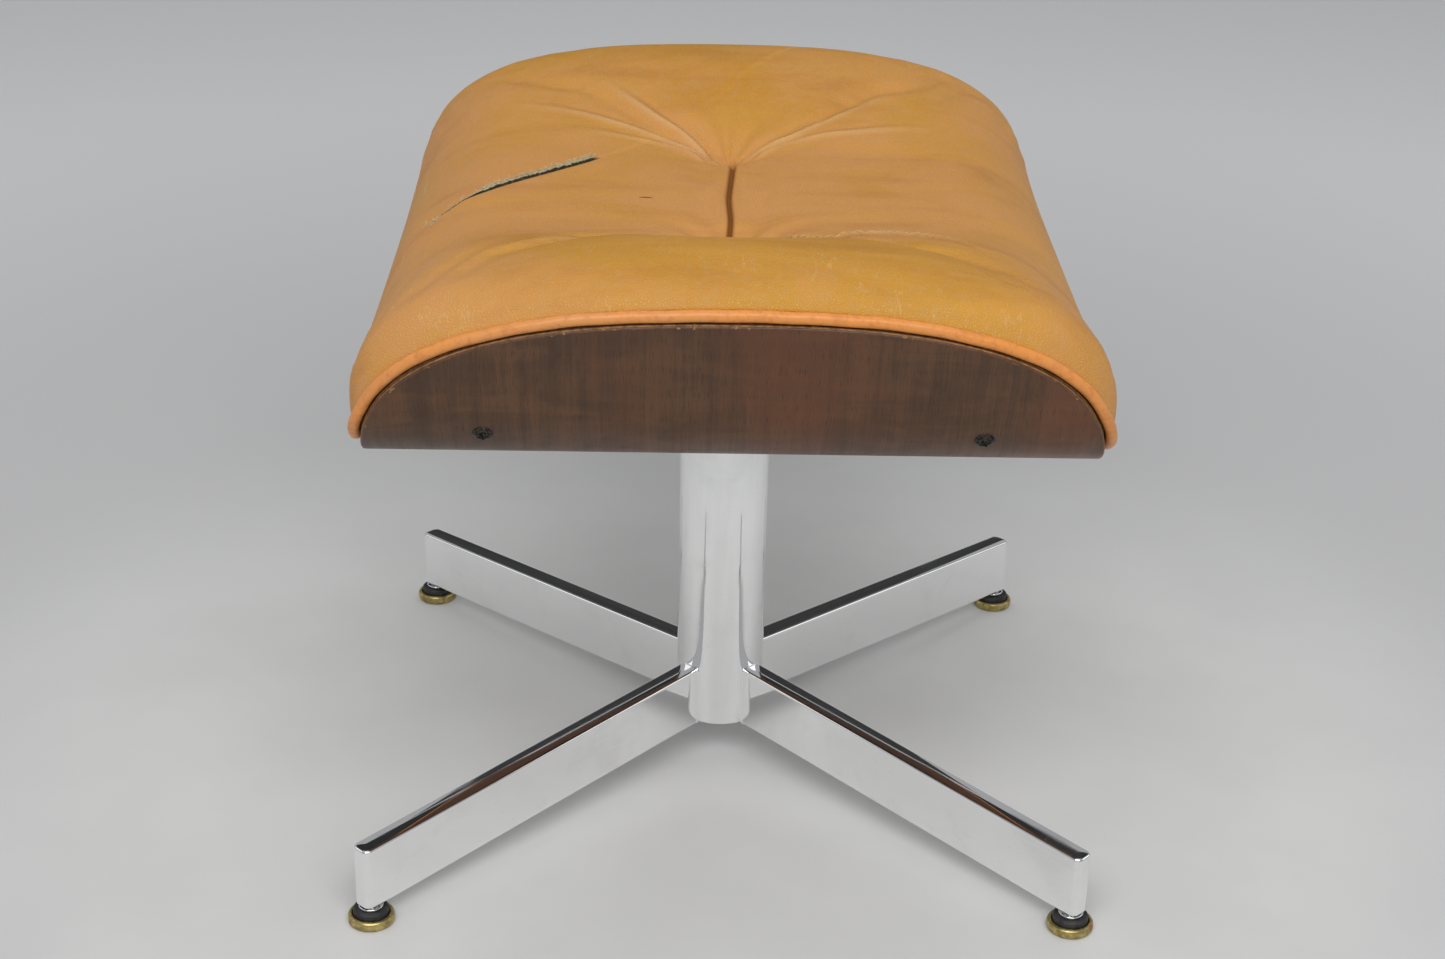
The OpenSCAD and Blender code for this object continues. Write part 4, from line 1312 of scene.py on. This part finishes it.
def build_stem(foot, centre):
    """Threaded stem with a flat head that sits in the rubber ring."""
    segments, pitch, crest, root = 24, 1.27, 3.18, 2.55
    low, high = 6.2, STEM_TOP - 0.6
    head = [(5.7, 3.8), (6.0, 4.1), (6.0, 5.9), (5.7, 6.2)]
    loops = [circle(r, z, segments, centre) for r, z in head]
    for z in np.arange(low, high, pitch / 6):
        fade = smooth((z - low) / 2.0) * smooth((high - z) / 1.2)
        loop = []
        for a in np.linspace(0, 2 * math.pi, segments, endpoint=False):
            phase = ((z - low) / pitch - a / (2 * math.pi)) % 1.0
            tooth = 1 - abs(2 * phase - 1)
            r = root + (crest - root) * (tooth * fade + (1 - fade) * 0.4)
            loop.append((centre[0] + r * math.cos(a), centre[1] + r * math.sin(a), z))
        loops.append(loop)
    loops.append(circle(2.1, STEM_TOP, segments, centre))
    points, faces = capped_loops((*centre, 3.8), loops, (*centre, STEM_TOP))
    piece_from(f"glide_stem_thread_{foot}", points, faces, zinc, f"foot_stem_{foot}", [f"glide_stem_{foot}"])


for foot, (side_x, side_y) in FEET.items():
    build_glide(foot, side_x, side_y)


# ---------------------------------------------------------------- board screws
def screw_mesh():
    """Domed head with a cross recess, and a plain shank; +Z inwards from the shell's face."""
    segments, head_r, dome_r, recess_r, recess_depth = 64, 5.7, 7.07, 3.1, 1.9
    dome_h = dome_r - math.sqrt(dome_r ** 2 - head_r ** 2)
    radii = [0.35, 0.7, 1.05, 1.4, 1.75, 2.1, 2.5, 2.9, 3.3, 3.8, 4.4, 5.0, 5.45, 5.7]
    loops = []
    for r in radii:
        loop = []
        for x, y, _ in circle(r, 0, segments):
            z = -(math.sqrt(dome_r ** 2 - r * r) - (dome_r - dome_h))
            slot = min(abs(x), abs(y))
            reach = max(abs(x), abs(y))
            cut = smooth((0.78 - slot) / 0.3) * smooth((recess_r - reach) / 0.5)
            loop.append((x, y, z + recess_depth * float(cut) * (1 - 0.25 * reach / recess_r)))
        loops.append(loop)
    loops += [circle(r, z, segments) for r, z in [(5.7, 0.15), (2.4, 0.15), (2.4, 19.0)]]
    return capped_loops((0, 0, -dome_h + 2.0), loops, (0, 0, 19.4))


def build_screw_tree():
    """One fastener on each host point, its axis along the point's normal."""
    tree, given, out = geometry_tree("fasteners", [("Fastener", "Object", None), ("Seed", "Int", 3)])
    fastener = add(tree, "GeometryNodeObjectInfo", None, Object=given["Fastener"])
    axis = add(tree, "GeometryNodeInputNamedAttribute", {"data_type": "FLOAT_VECTOR"}, Name="axis")
    aligned = add(tree, "FunctionNodeAlignRotationToVector", {"axis": "Z"}, Vector=axis.outputs[0])
    spin = add(tree, "FunctionNodeRandomValue", {"data_type": "FLOAT"}, i2=0.0, i3=1.57, Seed=given["Seed"])
    turned = add(tree, "FunctionNodeAxisAngleToRotation", None, Axis=(0, 0, 1), Angle=spin.outputs[1])
    both = add(tree, "FunctionNodeRotateRotation", {"rotation_space": "LOCAL"}, i0=aligned.outputs[0],
               i1=turned.outputs[0])
    placed = add(tree, "GeometryNodeInstanceOnPoints", None, Points=given["Geometry"],
                 Instance=fastener.outputs["Geometry"], Rotation=both.outputs[0])
    return finished_tree(tree, placed.outputs[0], given, out)


def build_screws():
    points, faces = screw_mesh()
    fastener = bare_object("screw_pattern", points, faces)
    fastener.data.shade_smooth()
    places, axes = [], []
    for side in (-1, 1):
        for hand in (-1, 1):
            places.append((hand * SCREW_PITCH / 2, side * (FLAT_L + BEND_R * math.cos(SCREW_ANGLE)),
                           SHELL_Z + BEND_R - BEND_R * math.sin(SCREW_ANGLE)))
            axes.append((0, -side * math.cos(SCREW_ANGLE), math.sin(SCREW_ANGLE)))
    host = bare_object("screw_places", places, [])
    layer = host.data.attributes.new("axis", "FLOAT_VECTOR", "POINT")
    layer.data.foreach_set("vector", np.array(axes, np.float32).ravel())
    mesh = grown(host, build_screw_tree(), {"Fastener": fastener, "Finish": screw_black, "Seed": 3})
    bpy.data.objects.remove(fastener)
    place_piece("board_screws_cross", mesh, "seat", ["board_screws"])


build_screws()


# ---------------------------------------------------------------- inner and underside hardware
def recolour(mesh, material):
    mesh.materials.clear()
    mesh.materials.append(material)


def machined(node, material, edge):
    """Merged copy of a plain CAD node with its edges broken."""
    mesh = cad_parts[node].data.copy()
    shape = bmesh.new()
    shape.from_mesh(mesh)
    bmesh.ops.remove_doubles(shape, verts=shape.verts, dist=1e-6)
    bmesh.ops.dissolve_limit(shape, angle_limit=math.radians(1), verts=shape.verts, edges=shape.edges)
    shape.to_mesh(mesh)
    shape.free()
    recolour(mesh, material)
    mesh.shade_smooth()
    piece = place_piece(node + "_finished", mesh, "seat", [node])
    set_all(piece.modifiers.new("broken_edges", "BEVEL"), width=edge * MM, segments=3, limit_method="ANGLE",
            angle_limit=math.radians(40), use_clamp_overlap=True)
    piece.modifiers.new("weighted", "WEIGHTED_NORMAL").weight = NORMAL_WEIGHT


for node, material, slot, edge in [
        ("seat_plate", black_steel, "black_steel", 0.7), ("swivel_hub", black_steel, "black_steel", 0.8),
        ("plate_bolts", black_steel, "black_steel", 0.4), ("swivel_spindle", zinc, "steel", 0.6)]:
    machined(node, material, edge)

INNER = {
    "column_end_disc": chrome, "upper_bush": nylon, "lower_bush": nylon, "thrust_washer": zinc,
    "retaining_washer": zinc, "retaining_clip": black_steel, "tee_nuts": zinc, "cushion_board": birch,
    "board_spacers": rubber, "board_inserts": zinc, "tuft_anchors": zinc, "tuft_twines": twine,
}
for foot in FEET:
    INNER["leg_nut_" + foot] = zinc
for node, material in INNER.items():
    recolour(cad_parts[node].data, material)


# ---------------------------------------------------------------- floor and light
def build_floor():
    material, tree, shader, place = finish_of("studio_floor")
    away = length_of(tree, stretched(tree, place, (1, 1, 0)))
    soft = remap(tree, noise(tree, place, 7.0, 3.0), 0.3, 0.7)
    pale = blend_colour(tree, soft, (0.72, 0.72, 0.71, 1), (0.76, 0.76, 0.75, 1))
    # Grey beyond the pale cloth, growing brighter further out: the grey band is the surface's own tone, the
    # brightening with distance is painted light.
    grey_beyond_and_painted_light = blend_colour(tree, remap(tree, away, 0.7, 1.7), (0.60, 0.60, 0.602, 1), (0.80, 0.80, 0.80, 1))
    colour = blend_colour(tree, remap(tree, away, 0.34, 0.66), pale, grey_beyond_and_painted_light)
    surface(tree, shader, colour, 0.9, noise(tree, place, 900.0, 3.0), 0.15, 0.0004)
    half = 6.0
    corners = [(-half, -half, 0), (half, -half, 0), (half, half, 0), (-half, half, 0)]
    new_object("floor", new_mesh("floor", corners, [(0, 1, 2, 3)], material))


build_floor()


def soft_light(name, place, aim, size, power):
    data = set_all(bpy.data.lights.new(name, "AREA"), shape="RECTANGLE", size=size[0], size_y=size[1],
                   energy=power)
    aimed = (Vector(aim) - Vector(place)).to_track_quat("-Z", "Y").to_euler()
    new_object(name, data, location=place, rotation_euler=aimed)


def dark_card(name, corners):
    """Black card outside the view, there for the polished parts to reflect."""
    mesh = new_mesh(name, corners, [(0, 1, 2, 3)], card_black)
    new_object(name, mesh, visible_camera=False, visible_diffuse=False, visible_shadow=False)


card_black = dull_finish("card_black", (0.035, 0.035, 0.035, 1), (0.05, 0.05, 0.05, 1), 0.9, 40.0, 0.0001)
dark_card("card_above", [(-1.6, 0.62, 2.0), (1.6, 0.62, 2.0), (1.6, 2.4, 2.0), (-1.6, 2.4, 2.0)])
dark_card("card_behind", [(-0.8, 2.6, 0.42), (0.8, 2.6, 0.42), (0.8, 2.6, 2.0), (-0.8, 2.6, 2.0)])

soft_light("key", (0.0, -1.9, 2.3), (0, 0, 0.15), (2.6, 1.3), 47)
soft_light("back_top", (0.0, 0.9, 2.4), (0, 1.0, 0.0), (3.0, 0.8), 8)
soft_light("left_fill", (-2.4, 0.3, 1.4), (0, 0, 0.1), (1.6, 1.0), 3)
soft_light("right_fill", (2.4, 0.3, 1.4), (0, 0, 0.1), (1.6, 1.0), 4)

world = bpy.data.worlds.new("studio")
bpy.context.scene.world = world
world.use_nodes = True
fill(world.node_tree, world.node_tree.nodes["Background"].inputs, Color=(0.80, 0.81, 0.83, 1), Strength=0.42)
bpy.context.scene.view_settings.view_transform = "Standard"
